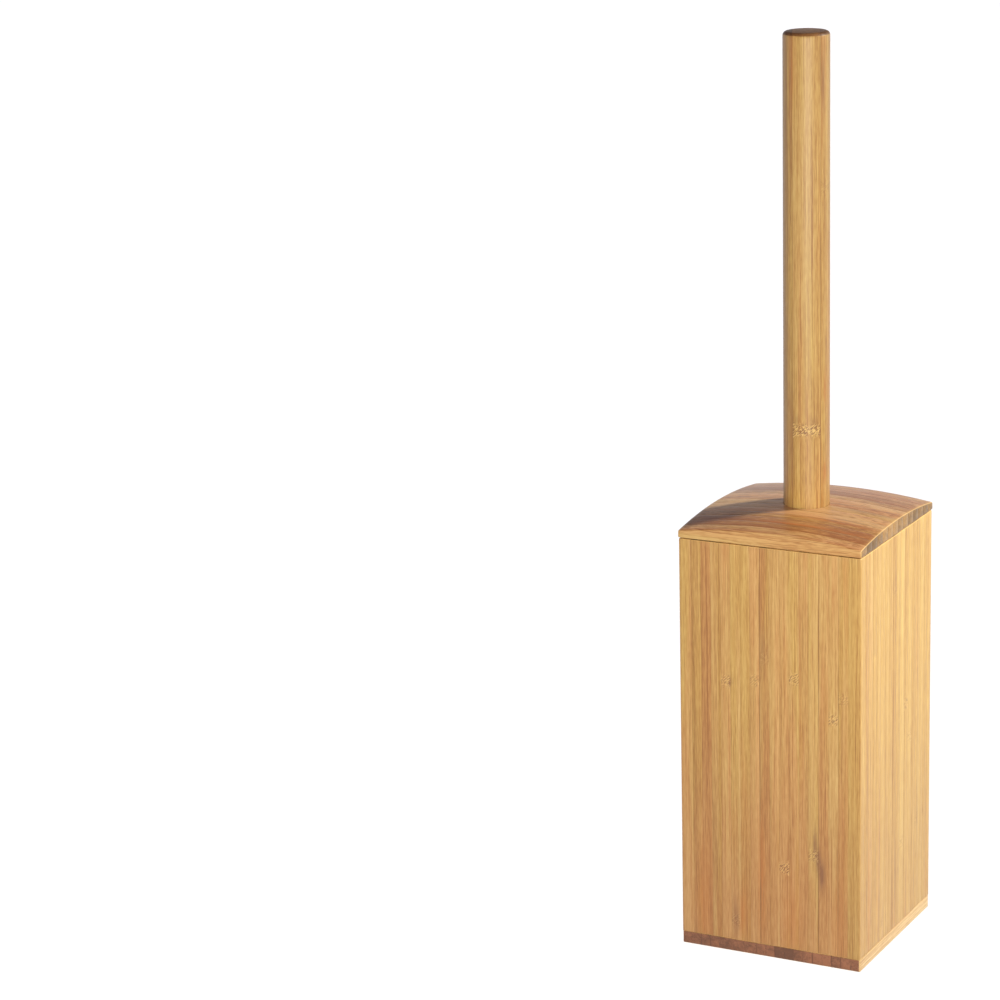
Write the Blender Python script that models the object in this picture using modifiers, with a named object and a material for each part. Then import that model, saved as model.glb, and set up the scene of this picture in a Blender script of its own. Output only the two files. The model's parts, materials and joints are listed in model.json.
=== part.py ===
"""Square bamboo toilet brush holder: box, removable liner cup, and a brush that hangs from its lid.

Metres, +Z up. The origin is the centre of the square that the foot pads stand on.
+X runs to the right along the front panel, and the front panel faces -Y.
"""

import math

import bmesh
import bpy

# Box
BOX_WIDTH = 0.090
BOX_HEIGHT = 0.200
PANEL_THICKNESS = 0.006
BASE_THICKNESS = 0.006
PANEL_EDGE = 0.0004
BASE_EDGE = 0.0008

# Foot pads, each let into a shallow recess under the base
PAD_DIAMETER = 0.012
PAD_THICKNESS = 0.0015
PAD_PROUD = 0.0005
PAD_INSET = 0.013
PAD_CLEARANCE = 0.0004

# Lid and the square board under it that centres it in the box
LID_CENTRE_THICKNESS = 0.0102
LID_CORNER_THICKNESS = 0.0034
LID_OVERHANG = 0.0003
LID_SEAM = 0.0004
LID_EDGE = 0.0005
LID_GRID = 14
LOCATOR_THICKNESS = 0.006
LOCATOR_CLEARANCE = 0.001
LOCATOR_EDGE = 0.001

# Handle
HANDLE_DIAMETER = 0.0215
HANDLE_REACH = 0.2194
HANDLE_TOP_EDGE = 0.002
HANDLE_FOOT_EDGE = 0.0005
HANDLE_SOCKET_DEPTH = 0.003

# Hanger bolt through lid and board, with its washer and the threaded insert that it screws into
BOLT_DIAMETER = 0.006
BOLT_IN_HANDLE = 0.030
BOLT_IN_STEM = 0.015
BOLT_POINT = 0.001
WASHER_DIAMETER = 0.018
WASHER_THICKNESS = 0.0015
INSERT_WALL = 0.0012
INSERT_LENGTH = 0.014

# Stem
STEM_TOP_DIAMETER = 0.016
STEM_FOOT_DIAMETER = 0.013
STEM_FLANGE_DIAMETER = 0.022
STEM_FLANGE_THICKNESS = 0.003
STEM_FLANGE_FLARE = 0.004
STUB_DIAMETER = 0.009
STUB_LENGTH = 0.014

# Brush head
CORE_DIAMETER = 0.026
CORE_LENGTH = 0.062
CORE_SHOULDER = 0.005
CORE_NOSE = 0.008
BRISTLE_ROWS = 8
ROW_ROOT_THICKNESS = 0.0032
ROW_GAP = 0.0012
ROW_SPREAD = 1.16
ROW_END_MARGIN = 0.006
END_TUFT_LENGTH = 0.014
END_TUFT_ROOT_RADIUS = 0.010
HEAD_END_FACTOR = 0.82
BRISTLE_CLEARANCE = 0.0016
DRIP_CLEARANCE = 0.012

# Liner cup
LINER_CLEARANCE = 0.001
LINER_HEADROOM = 0.040
LINER_WALL = 0.0014
LINER_FLOOR = 0.0016
LINER_TAPER = 0.0026
LINER_RIM_WIDTH = 0.0014
LINER_RIM_HEIGHT = 0.002
LINER_FOOT_HEIGHT = 0.0015
LINER_FOOT_WIDTH = 0.002
LINER_FILLET = 0.0015

# Touching pieces stay this far apart, and threads and fits have this radial clearance
GAP = 0.0003

ARC_STEPS = 4
MERGE = 0.00005

# Heights worked out from the sizes above
BASE_BOTTOM = PAD_PROUD
BASE_TOP = BASE_BOTTOM + BASE_THICKNESS
PANEL_BOTTOM = BASE_TOP + GAP
BOX_RIM = BASE_BOTTOM + BOX_HEIGHT
LID_BOTTOM = BOX_RIM + LID_SEAM
LID_CROWN = LID_BOTTOM + LID_CENTRE_THICKNESS
LOCATOR_TOP = LID_BOTTOM - GAP
LOCATOR_BOTTOM = LOCATOR_TOP - LOCATOR_THICKNESS
WASHER_TOP = LOCATOR_BOTTOM - GAP
WASHER_BOTTOM = WASHER_TOP - WASHER_THICKNESS
STEM_TOP = WASHER_BOTTOM - GAP
HANDLE_BOTTOM = LID_CROWN - HANDLE_SOCKET_DEPTH + GAP
HANDLE_TOP = LID_CROWN + HANDLE_REACH
LINER_BOTTOM = BASE_TOP + GAP
LINER_FLOOR_TOP = LINER_BOTTOM + LINER_FOOT_HEIGHT + LINER_FLOOR
LINER_RIM = BOX_RIM - LINER_HEADROOM
BRUSH_BOTTOM = LINER_FLOOR_TOP + DRIP_CLEARANCE
CORE_BOTTOM = BRUSH_BOTTOM + END_TUFT_LENGTH
CORE_TOP = CORE_BOTTOM + CORE_LENGTH

# Widths worked out from the sizes above
INSIDE_WIDTH = BOX_WIDTH - 2 * PANEL_THICKNESS
LID_WIDTH = BOX_WIDTH + 2 * LID_OVERHANG
LOCATOR_WIDTH = INSIDE_WIDTH - 2 * LOCATOR_CLEARANCE
BOLT_RADIUS = BOLT_DIAMETER / 2
BOLT_HOLE_RADIUS = BOLT_RADIUS + GAP
INSERT_RADIUS = BOLT_HOLE_RADIUS + INSERT_WALL
INSERT_HOLE_RADIUS = INSERT_RADIUS + GAP
STUB_HOLE_RADIUS = STUB_DIAMETER / 2 + GAP
LINER_RIM_RADIUS = INSIDE_WIDTH / 2 - LINER_CLEARANCE
LINER_TOP_RADIUS = LINER_RIM_RADIUS - LINER_RIM_WIDTH
LINER_FOOT_RADIUS = LINER_TOP_RADIUS - LINER_TAPER
HEAD_RADIUS = LINER_FOOT_RADIUS - LINER_WALL - BRISTLE_CLEARANCE

# Linear base colour, roughness, metallic
FINISHES = {
    "bamboo_panel": ((0.60, 0.36, 0.13), 0.50, 0.0),
    "bamboo_base": ((0.42, 0.20, 0.10), 0.55, 0.0),
    "bamboo_lid": ((0.50, 0.27, 0.11), 0.45, 0.0),
    "bamboo_handle": ((0.62, 0.38, 0.15), 0.45, 0.0),
    "foot_pad": ((0.55, 0.54, 0.50), 0.80, 0.0),
    "liner_plastic": ((0.78, 0.79, 0.78), 0.40, 0.0),
    "brush_plastic": ((0.82, 0.82, 0.80), 0.35, 0.0),
    "bristle_nylon": ((0.88, 0.88, 0.86), 0.60, 0.0),
    "zinc_steel": ((0.62, 0.62, 0.62), 0.35, 1.0),
    "brass": ((0.70, 0.50, 0.20), 0.30, 1.0),
}


def clear_scene():
    for obj in list(bpy.data.objects):
        bpy.data.objects.remove(obj)


def new_collection(name):
    collection = bpy.data.collections.new(name)
    bpy.context.scene.collection.children.link(collection)
    return collection


def new_material(name, colour, roughness, metallic):
    material = bpy.data.materials.new(name)
    material.use_nodes = True
    shader = material.node_tree.nodes["Principled BSDF"]
    shader.inputs["Base Color"].default_value = (*colour, 1.0)
    shader.inputs["Roughness"].default_value = roughness
    shader.inputs["Metallic"].default_value = metallic
    material.diffuse_color = (*colour, 1.0)
    return material


def add_object(name, mesh, collection, location, parent=None):
    obj = bpy.data.objects.new(name, mesh)
    collection.objects.link(obj)
    obj.parent = parent
    obj.location = location
    return obj


def finish_object(obj, finish):
    """Gives a part a material of its own, in one of the finishes."""
    obj.data.materials.append(new_material(obj.name, *FINISHES[finish]))


def round_edges(obj, width, segments=2):
    bevel = obj.modifiers.new("Rounded edges", "BEVEL")
    bevel.width = width
    bevel.segments = segments
    bevel.limit_method = "ANGLE"
    return bevel


def box_mesh(name, size):
    """A box that stands on its own origin."""
    bm = bmesh.new()
    bmesh.ops.create_cube(bm, size=1.0)
    bmesh.ops.translate(bm, vec=(0, 0, 0.5), verts=bm.verts)
    bmesh.ops.scale(bm, vec=size, verts=bm.verts)
    mesh = bpy.data.meshes.new(name)
    bm.to_mesh(mesh)
    bm.free()
    return mesh


def arc(centre_r, centre_z, radius, start_deg, end_deg, steps=ARC_STEPS):
    """Points of a profile's rounded corner, measured from +X towards +Z."""
    angles = [math.radians(start_deg + (end_deg - start_deg) * i / steps) for i in range(steps + 1)]
    return [(centre_r + radius * math.cos(a), centre_z + radius * math.sin(a)) for a in angles]


def turned_mesh(name, profile, closed):
    """The half section of a turned piece, with its outer side listed from top to bottom."""
    count = len(profile)
    edges = [(i, i + 1) for i in range(count - 1)]
    if closed:
        edges.append((count - 1, 0))
    mesh = bpy.data.meshes.new(name)
    mesh.from_pydata([(r, 0.0, z) for r, z in profile], edges, [])
    return mesh


def turn(obj, steps):
    screw = obj.modifiers.new("Turned", "SCREW")
    screw.steps = steps
    screw.render_steps = steps
    screw.use_merge_vertices = True
    screw.merge_threshold = MERGE
    screw.use_smooth_shade = True
    return screw


def cut(obj, cutter):
    boolean = obj.modifiers.new("Cut", "BOOLEAN")
    boolean.operation = "DIFFERENCE"
    boolean.object = cutter


class Model:
    """Adds parts under the empties of the three bodies, and cutters beside them."""

    def __init__(self):
        self.parts = new_collection("toilet_brush_holder")
        self.cutters = new_collection("cutters")
        self.parents = {}

    def body(self, name):
        self.parents[name] = add_object(name, None, self.parts, (0, 0, 0))

    def box(self, name, body, size, location, finish, edge):
        parent = self.parents[body]
        obj = add_object(name, box_mesh(name, size), self.parts, location, parent)
        finish_object(obj, finish)
        round_edges(obj, edge)
        return obj

    def turned(self, name, body, profile, height, finish, steps, closed=False):
        parent = self.parents[body]
        mesh = turned_mesh(name, profile, closed)
        obj = add_object(name, mesh, self.parts, (0, 0, height), parent)
        finish_object(obj, finish)
        turn(obj, steps)
        return obj

    def turned_cutter(self, name, profile, location, steps=32):
        obj = add_object(name, turned_mesh(name, profile, False), self.cutters, location)
        turn(obj, steps)
        obj.hide_render = True
        obj.display_type = "WIRE"
        return obj


def rod_profile(radius, low, high):
    return [(0, high), (radius, high), (radius, low), (0, low)]


def tube_profile(outer, inner, height):
    return [(inner, height), (outer, height), (outer, 0), (inner, 0)]


def build_box(model):
    """Base plate, with the two side panels the full depth and the other two between them."""
    full = BOX_WIDTH
    between = INSIDE_WIDTH - 2 * GAP
    tall = BOX_RIM - PANEL_BOTTOM
    offset = (BOX_WIDTH - PANEL_THICKNESS) / 2
    base_size = (full, full, BASE_THICKNESS)
    base = model.box("base_plate", "holder", base_size, (0, 0, BASE_BOTTOM), "bamboo_base", BASE_EDGE)
    for name, side in (("left_panel", -1), ("right_panel", 1)):
        size = (PANEL_THICKNESS, full, tall)
        place = (side * offset, 0, PANEL_BOTTOM)
        model.box(name, "holder", size, place, "bamboo_panel", PANEL_EDGE)
    for name, side in (("front_panel", -1), ("back_panel", 1)):
        size = (between, PANEL_THICKNESS, tall)
        place = (0, side * offset, PANEL_BOTTOM)
        model.box(name, "holder", size, place, "bamboo_panel", PANEL_EDGE)
    build_foot_pads(model, base)


def build_foot_pads(model, base):
    reach = BOX_WIDTH / 2 - PAD_INSET
    radius = PAD_DIAMETER / 2
    depth = PAD_THICKNESS - PAD_PROUD + GAP
    recess = rod_profile(radius + PAD_CLEARANCE, -BASE_THICKNESS, depth)
    profile = rod_profile(radius, 0, PAD_THICKNESS)
    for row, y in (("front", -reach), ("back", reach)):
        for column, x in (("left", -reach), ("right", reach)):
            place = f"{row}_{column}"
            cut(base, model.turned_cutter(f"pad_recess_{place}", recess, (x, y, BASE_BOTTOM)))
            pad = model.turned(f"foot_pad_{place}", "holder", profile, 0, "foot_pad", 24)
            pad.location = (x, y, 0)


def lid_mesh(name):
    """A square slab whose top is part of a sphere through the crown and the four corners."""
    corner = LID_WIDTH / math.sqrt(2)
    drop = LID_CENTRE_THICKNESS - LID_CORNER_THICKNESS
    sphere = (corner**2 + drop**2) / (2 * drop)
    bm = bmesh.new()
    bmesh.ops.create_grid(bm, x_segments=LID_GRID, y_segments=LID_GRID, size=LID_WIDTH / 2)
    bmesh.ops.reverse_faces(bm, faces=bm.faces)
    top = bmesh.ops.extrude_face_region(bm, geom=bm.faces[:], use_keep_orig=True)
    for vert in [v for v in top["geom"] if isinstance(v, bmesh.types.BMVert)]:
        distance = math.hypot(vert.co.x, vert.co.y)
        sag = sphere - math.sqrt(sphere**2 - distance**2)
        vert.co.z = LID_CENTRE_THICKNESS - sag
    bmesh.ops.recalc_face_normals(bm, faces=bm.faces)
    mesh = bpy.data.meshes.new(name)
    bm.to_mesh(mesh)
    bm.free()
    return mesh


def build_lid(model):
    """Domed lid with a socket for the handle, and the board under it. The bolt passes through both."""
    parent = model.parents["brush"]
    lid = add_object("lid", lid_mesh("lid"), model.parts, (0, 0, LID_BOTTOM), parent)
    finish_object(lid, "bamboo_lid")
    round_edges(lid, LID_EDGE)
    socket_radius = HANDLE_DIAMETER / 2 + GAP
    socket_floor = LID_CENTRE_THICKNESS - HANDLE_SOCKET_DEPTH
    above = 2 * LID_CENTRE_THICKNESS
    bore = [
        (0, above),
        (socket_radius, above),
        (socket_radius, socket_floor),
        (BOLT_HOLE_RADIUS, socket_floor),
        (BOLT_HOLE_RADIUS, -LID_CENTRE_THICKNESS),
        (0, -LID_CENTRE_THICKNESS),
    ]
    cut(lid, model.turned_cutter("lid_bore", bore, (0, 0, LID_BOTTOM), 40))

    size = (LOCATOR_WIDTH, LOCATOR_WIDTH, LOCATOR_THICKNESS)
    place = (0, 0, LOCATOR_BOTTOM)
    locator = model.box("lid_locator", "brush", size, place, "bamboo_lid", LOCATOR_EDGE)
    hole = rod_profile(BOLT_HOLE_RADIUS, -LOCATOR_THICKNESS, 2 * LOCATOR_THICKNESS)
    cut(locator, model.turned_cutter("locator_bore", hole, place, 24))


def build_handle(model):
    """Straight dowel, rounded at the top, with a blind hole for the bolt in its foot."""
    radius = HANDLE_DIAMETER / 2
    length = HANDLE_TOP - HANDLE_BOTTOM
    hole_end = BOLT_IN_HANDLE + GAP
    profile = [(0, length)]
    profile += arc(radius - HANDLE_TOP_EDGE, length - HANDLE_TOP_EDGE, HANDLE_TOP_EDGE, 90, 0)
    profile += arc(radius - HANDLE_FOOT_EDGE, HANDLE_FOOT_EDGE, HANDLE_FOOT_EDGE, 0, -90, 2)
    profile += [(BOLT_HOLE_RADIUS, 0), (BOLT_HOLE_RADIUS, hole_end), (0, hole_end)]
    model.turned("handle", "brush", profile, HANDLE_BOTTOM, "bamboo_handle", 40)


def build_fasteners(model):
    bolt_bottom = STEM_TOP - BOLT_IN_STEM
    length = HANDLE_BOTTOM + BOLT_IN_HANDLE - bolt_bottom
    bolt = [
        (0, length),
        (BOLT_RADIUS - BOLT_POINT, length),
        (BOLT_RADIUS, length - BOLT_POINT),
        (BOLT_RADIUS, BOLT_POINT),
        (BOLT_RADIUS - BOLT_POINT, 0),
        (0, 0),
    ]
    model.turned("hanger_bolt", "brush", bolt, bolt_bottom, "zinc_steel", 20)
    washer = tube_profile(WASHER_DIAMETER / 2, BOLT_HOLE_RADIUS, WASHER_THICKNESS)
    model.turned("bolt_washer", "brush", washer, WASHER_BOTTOM, "zinc_steel", 28, closed=True)
    insert = tube_profile(INSERT_RADIUS, BOLT_HOLE_RADIUS, INSERT_LENGTH)
    insert_bottom = STEM_TOP - INSERT_LENGTH
    model.turned("stem_insert", "brush", insert, insert_bottom, "brass", 24, closed=True)


def build_stem(model):
    """Flanged stem with a socket for the insert at the top and a stub for the head at the foot."""
    length = STEM_TOP - CORE_TOP - GAP
    top_radius = STEM_TOP_DIAMETER / 2
    foot_radius = STEM_FOOT_DIAMETER / 2
    flange_radius = STEM_FLANGE_DIAMETER / 2
    flange_low = length - STEM_FLANGE_THICKNESS
    socket_floor = length - BOLT_IN_STEM - GAP
    profile = [
        (0, socket_floor),
        (INSERT_HOLE_RADIUS, socket_floor),
        (INSERT_HOLE_RADIUS, length),
        (flange_radius - BOLT_POINT, length),
        (flange_radius, length - BOLT_POINT),
        (flange_radius, flange_low),
        (top_radius, flange_low - STEM_FLANGE_FLARE),
        (foot_radius, 0),
        (STUB_DIAMETER / 2, 0),
        (STUB_DIAMETER / 2, -STUB_LENGTH),
        (0, -STUB_LENGTH),
    ]
    model.turned("stem", "brush", profile, CORE_TOP + GAP, "brush_plastic", 32)


def build_core(model):
    """Head core: a plug with a socket for the stem's stub, a shoulder at the top and a round nose."""
    radius = CORE_DIAMETER / 2
    shoulder = STEM_FOOT_DIAMETER / 2
    socket_floor = CORE_LENGTH - STUB_LENGTH - 2 * GAP
    profile = [
        (0, socket_floor),
        (STUB_HOLE_RADIUS, socket_floor),
        (STUB_HOLE_RADIUS, CORE_LENGTH),
        (shoulder, CORE_LENGTH),
        (radius, CORE_LENGTH - CORE_SHOULDER),
    ]
    profile += arc(radius - CORE_NOSE, CORE_NOSE, CORE_NOSE, 0, -90)
    profile += [(0, 0)]
    model.turned("brush_core", "brush", profile, CORE_BOTTOM, "brush_plastic", 28)


def head_radius(height):
    """Outer radius of the bristles at a height above the core's foot: full in the middle."""
    middle = CORE_LENGTH / 2
    across = (height - middle) / middle
    return HEAD_RADIUS * math.sqrt(1 - (1 - HEAD_END_FACTOR**2) * across**2)


def build_bristles(model):
    """One ring for each row of tufts, spreading outwards, and the tufts that close the end."""
    root_radius = CORE_DIAMETER / 2 + GAP
    lowest = CORE_NOSE
    highest = CORE_LENGTH - ROW_END_MARGIN
    pitch = (highest - lowest) / (BRISTLE_ROWS - 1)
    middle = (highest + lowest) / 2
    tip_half = (pitch * ROW_SPREAD - ROW_GAP) / 2
    root_half = ROW_ROOT_THICKNESS / 2
    for row in range(BRISTLE_ROWS):
        root = lowest + pitch * row
        tip = middle + (root - middle) * ROW_SPREAD
        tip_radius = head_radius(root)
        profile = [
            (root_radius, root + root_half - tip),
            (tip_radius - tip_half / 2, tip_half),
            (tip_radius, 0),
            (tip_radius - tip_half / 2, -tip_half),
            (root_radius, root - root_half - tip),
        ]
        name = f"bristle_row_{row + 1}"
        model.turned(name, "brush", profile, CORE_BOTTOM + tip, "bristle_nylon", 24, closed=True)
    build_end_tuft(model, lowest - middle, middle, tip_half)


def build_end_tuft(model, lowest_offset, middle, tip_half):
    """The tufts under the core's nose, kept clear of the lowest row."""
    lowest_tip = middle + lowest_offset * ROW_SPREAD - tip_half
    flare_height = END_TUFT_LENGTH + lowest_tip - ROW_GAP
    flare_radius = head_radius(0) - ROW_GAP
    profile = [
        (0, END_TUFT_LENGTH - GAP),
        (END_TUFT_ROOT_RADIUS / 2, END_TUFT_LENGTH - GAP),
        (END_TUFT_ROOT_RADIUS, flare_height),
        (flare_radius, flare_height / 2),
        (flare_radius - flare_height / 2, 0),
        (0, 0),
    ]
    model.turned("bristle_end", "brush", profile, BRUSH_BOTTOM, "bristle_nylon", 28)


def build_liner(model):
    """Tapered round cup with a rim to lift it by and a ring foot."""
    rim = LINER_RIM - LINER_BOTTOM
    under = LINER_FOOT_HEIGHT
    floor = under + LINER_FLOOR
    inner_top = LINER_TOP_RADIUS - LINER_WALL
    inner_floor = LINER_FOOT_RADIUS - LINER_WALL
    profile = [(0, floor)]
    profile += arc(inner_floor - LINER_FILLET, floor + LINER_FILLET, LINER_FILLET, -90, 0, 3)
    profile += [
        (inner_top, rim - LINER_WALL / 2),
        (inner_top + LINER_WALL / 2, rim),
        (LINER_RIM_RADIUS, rim),
        (LINER_RIM_RADIUS, rim - LINER_RIM_HEIGHT),
        (LINER_TOP_RADIUS, rim - LINER_RIM_HEIGHT),
        (LINER_FOOT_RADIUS, under),
        (LINER_FOOT_RADIUS - GAP, 0),
        (LINER_FOOT_RADIUS - LINER_FOOT_WIDTH, 0),
        (LINER_FOOT_RADIUS - LINER_FOOT_WIDTH - GAP, under),
        (0, under),
    ]
    model.turned("liner_cup", "liner", profile, LINER_BOTTOM, "liner_plastic", 48)


def main():
    clear_scene()
    model = Model()
    for body in ("holder", "liner", "brush"):
        model.body(body)
    build_box(model)
    build_liner(model)
    build_lid(model)
    build_handle(model)
    build_fasteners(model)
    build_stem(model)
    build_core(model)
    build_bristles(model)


main()
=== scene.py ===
"""Bamboo toilet brush holder: the looks of its box, liner cup and lidded brush, and a stage for them."""

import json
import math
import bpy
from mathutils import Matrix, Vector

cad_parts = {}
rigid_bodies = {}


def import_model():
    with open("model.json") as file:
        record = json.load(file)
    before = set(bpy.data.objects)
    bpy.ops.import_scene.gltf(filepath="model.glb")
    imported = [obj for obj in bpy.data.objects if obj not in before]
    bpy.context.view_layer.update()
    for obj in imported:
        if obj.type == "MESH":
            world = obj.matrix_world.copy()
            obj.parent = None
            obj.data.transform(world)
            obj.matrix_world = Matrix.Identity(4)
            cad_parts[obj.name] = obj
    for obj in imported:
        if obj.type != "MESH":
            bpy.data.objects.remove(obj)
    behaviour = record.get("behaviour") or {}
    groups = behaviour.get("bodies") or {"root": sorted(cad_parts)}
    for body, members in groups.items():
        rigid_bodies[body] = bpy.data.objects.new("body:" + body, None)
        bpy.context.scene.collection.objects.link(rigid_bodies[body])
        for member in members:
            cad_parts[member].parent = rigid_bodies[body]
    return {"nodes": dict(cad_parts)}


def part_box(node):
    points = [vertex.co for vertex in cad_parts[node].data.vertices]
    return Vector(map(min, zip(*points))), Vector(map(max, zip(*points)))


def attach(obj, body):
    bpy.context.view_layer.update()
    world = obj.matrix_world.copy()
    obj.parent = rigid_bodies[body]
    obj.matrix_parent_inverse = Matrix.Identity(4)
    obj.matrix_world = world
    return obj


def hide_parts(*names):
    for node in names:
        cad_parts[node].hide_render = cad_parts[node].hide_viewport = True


bl_info = {
    "name": "Bamboo toilet brush holder",
    "version": (1, 0, 0),
    "blender": (4, 5, 0),
    "location": "View3D > Sidebar > Brush holder",
    "description": "Builds a bamboo toilet brush holder piece by piece, with a stage",
    "category": "Add Mesh",
}

import bmesh
import bpy
import numpy as np
from mathutils import Vector

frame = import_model()

MM = 0.001

# Edges of the bamboo boards, and how close glued pieces and strips lie
PANEL_EDGE = 0.4 * MM
BASE_EDGE = 0.8 * MM
LID_EDGE = 0.5 * MM
LOCATOR_EDGE = 0.8 * MM
SEAM_EASE = 0.03 * MM
GLUE_LINE = 0.01 * MM
GLUE_JOINT = 0.02 * MM

# Shapes that the frame's boxes don't tell
LID_CORNER_THICKNESS = 3.4 * MM
SOCKET_DEPTH = 3 * MM
SOCKET_FIT = 0.15 * MM
BOLT_CLEARANCE = 0.3 * MM
BOLT_IN_HANDLE = 30 * MM
PAD_FIT = 0.4 * MM
HANDLE_TOP_EDGE = 2 * MM
HANDLE_FOOT_EDGE = 0.5 * MM
PLANK_TURN = math.radians(22.5)
PLANK_CUT = 6.4 * MM

UP = (0, 0, 1)
RIGHT = (1, 0, 0)
BACK = (0, 1, 0)

# Figure of each board. Tones run from 0, dark, to 1, pale. Knots are (strip, place along, strength), stains
# (across, along, half width, half length, strength) and seams (cut, strength), with lengths in millimetres.
# A stain with a strength below 0 is reddish, and a knot with a strength below 0 has no scar.
FRONT_TONES = [0.2, 0.25, 0.3, 0.75, 0.9, 0.6, 0.8, 0.3, 0.8, 0.7, 0.85, 0.4, 0.8, 0.65, 0.9, 0.45]
FRONT_KNOTS = [
    (3, 134, -0.7), (7, 147, 0.4), (6, 136, -0.6), (10, 139, -0.8), (14, 122, -0.8),
    (15, 132, -0.6), (12, 54, -0.7), (9, 46, -0.9), (4, 16, 0.5),
]
FRONT_STAINS = [
    (42, 152, 1.2, 9, 0.5), (67.5, 60, 0.7, 7, 1.1), (69.3, 52, 0.8, 6, 1.2), (71.5, 45, 1.1, 7, 1.4),
    (25.3, 134, 0.8, 1.8, 0.9), (8, 60, 2, 50, 0.2), (83, 70, 1.4, 60, -0.3), (41, 40, 1.8, 30, -0.7),
    (28, 17, 1.1, 9, 1.2), (31, 20, 2.0, 14, -0.8), (11, 22, 4, 34, -0.55), (56, 20, 5, 24, -0.45),
    (79, 24, 3, 26, -0.4),
]
FRONT_SEAMS = [(7, 1.0), (13, 1.0), (15, 0.9)]
BACK_KNOTS = [(2, 151, 0.7), (5, 38, 0.9), (8, 102, 0.6), (11, 167, -0.7), (14, 74, 0.8)]
BACK_STAINS = [(38, 120, 1.4, 14, 0.4), (66, 84, 1.2, 10, 0.4)]
LEFT_KNOTS = [(3, 60, 0.8), (6, 171, 0.6), (9, 24, 0.8), (12, 118, -0.7), (15, 88, 0.8)]
LEFT_STAINS = [(30, 90, 1.4, 12, 0.4), (63, 150, 1.2, 10, 0.4)]
LEFT_FRONT_TONE = 0.74
RIGHT_TONES = [0.6, 0.3, 0.7, 0.3, 0.5, 0.9, 0.7, 0.4, 0.1, 0.6, 0.9, 0.5, 0.8, 0.4, 0.7, 1.0, 0.5, 0.8]
RIGHT_KNOTS = [
    (3, 151, 0.3), (8, 173, 0.4), (11, 114, -0.7), (12, 96, -0.6),
    (16, 115, 0.3), (14, 50, 0.4), (10, 46, -0.6), (5, 14, 0.4),
]
RIGHT_STAINS = [(45, 31, 1.0, 14, 0.5)]
RIGHT_HUES = (-0.9, -0.5)
BASE_TONES = [
    0.45, 0.5, 0.4, 0.45, 0.3, 0.45, 0.5, 0.55, 0.7, 0.6, 0.1, 0.0, 0.35, 0.7, 0.9, 1.0, 0.5, 0.75, 0.6
]
BASE_SEAMS = [
    (2, 0.9), (3, 0.5), (5, 0.8), (8, 0.6), (10, 1.0), (11, 0.7), (12, 0.5), (14, 0.7), (16, 0.9), (17, 0.6)
]
LID_TONES = [0.6, 0.0, 0.1, 0.35, 0.8, 0.95, 0.9, 0.6, 0.8, 0.45, 0.1, 0.4, 0.2, 0.4]
LID_STAINS = [
    (-31, 10, 1.8, 34, -0.9), (-37, 22, 0.4, 16, 0.7), (-33.5, 12, 0.35, 26, 0.8), (-29.5, -4, 0.4, 22, 0.7),
    (-25, 20, 0.35, 24, 0.8), (-17, 30, 0.4, 12, 0.7), (6, 32, 0.4, 10, 0.6), (27, 24, 0.5, 18, 0.6),
    (-31, -25, 2.5, 13, 0.7), (-1, 30, 2.2, 12, 0.6), (-21, 25, 1.4, 26, -0.7), (18, 32, 1.6, 18, 0.4),
    (26, -30, 10, 20, 0.55),
]
LID_SEAMS = [(2, 0.8), (3, 0.5), (5, 0.6), (7, 0.5), (9, 0.7), (11, 0.6), (13, 0.6)]
# Tones of the planks. The dark first plank lies on the dowel's side away from the key light, and its darkness
# is partly painted shade.
HANDLE_TONES = [0.15, 0.65, 0.4]
HANDLE_KNOTS = [(1, 37, -1.0), (2, 150, -0.4)]
# The last handle stain, a dark band the whole length of the dowel on its side away from the key light, is
# painted shade.
HANDLE_STAINS_AND_SHADE = [
    (8.2, 17, 0.7, 5, -0.9), (8.4, 56, 1.0, 8, -0.6), (-7.0, 40, 1.0, 30, 0.4), (3.6, 41, 1.6, 2.5, 0.5),
    (-4.5, 42, 1.4, 2.5, 0.35), (-10.5, 120, 1.5, 400, 0.45),
]
HANDLE_TOP_STAINS = [(-6.8, -14, 1.1, 24, -0.9), (7.4, -22, 0.7, 14, 0.7)]
HANDLE_SEAMS = [(1, 0.3), (2, 0.9)]

# How fine the bamboo's figure is: features a metre across, through and along the grain
BROAD = (210, 210, 5)
FIBRES = (1000, 1000, 13)
HAIRS = (2500, 2500, 55)
DASHES = (1900, 1900, 210)
DARK_LINES = (1700, 1700, 11)
PALE_LINES = (1800, 1800, 15)
SWIRLS = (500, 500, 330)
RED_PATCHES = (170, 170, 8)
GOLD_PATCHES = (150, 150, 6)
KNUCKLE_DASHES = (420, 1500, 1)
GLUE_PATCHES = (40, 40, 26)
BUNDLES = (1500, 1500, 8)
END_CLOUDS = (420, 420, 420)
# Height below which painted shade makes the wood redder and darker
FLOOR_SHADE_HEIGHT = 150 * MM
GLUE_WIDTH = 0.34 * MM

# Brush head, liner and stem
TUFT_ROOT = 1.1 * MM
TUFT_DEPTH = 0.6 * MM
TUFT_REACH = 6.8 * MM
TUFT_OVERLAP = 1.15
ROWS_ABOVE_NOSE = 8 * MM
ROWS_BELOW_TOP = 6 * MM
FILAMENT_RINGS = (0.0, 0.35, 0.7, 1.0)
FILAMENT_GIRTHS = (1.0, 1.0, 0.95, 0.7)
# (radius at the root, radius at the tip, tufts) in millimetres
END_TUFT_RINGS = ((0, 2.6, 1), (3.6, 10, 6), (7, 18, 12), (9.4, 25, 18))
NOSE_FLAT = 5 * MM
THREAD_PITCH = 1 * MM
THREAD_DEPTH = 0.45 * MM
KNURL_RIDGES = 18
KNURL_DEPTH = 0.2 * MM

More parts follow.
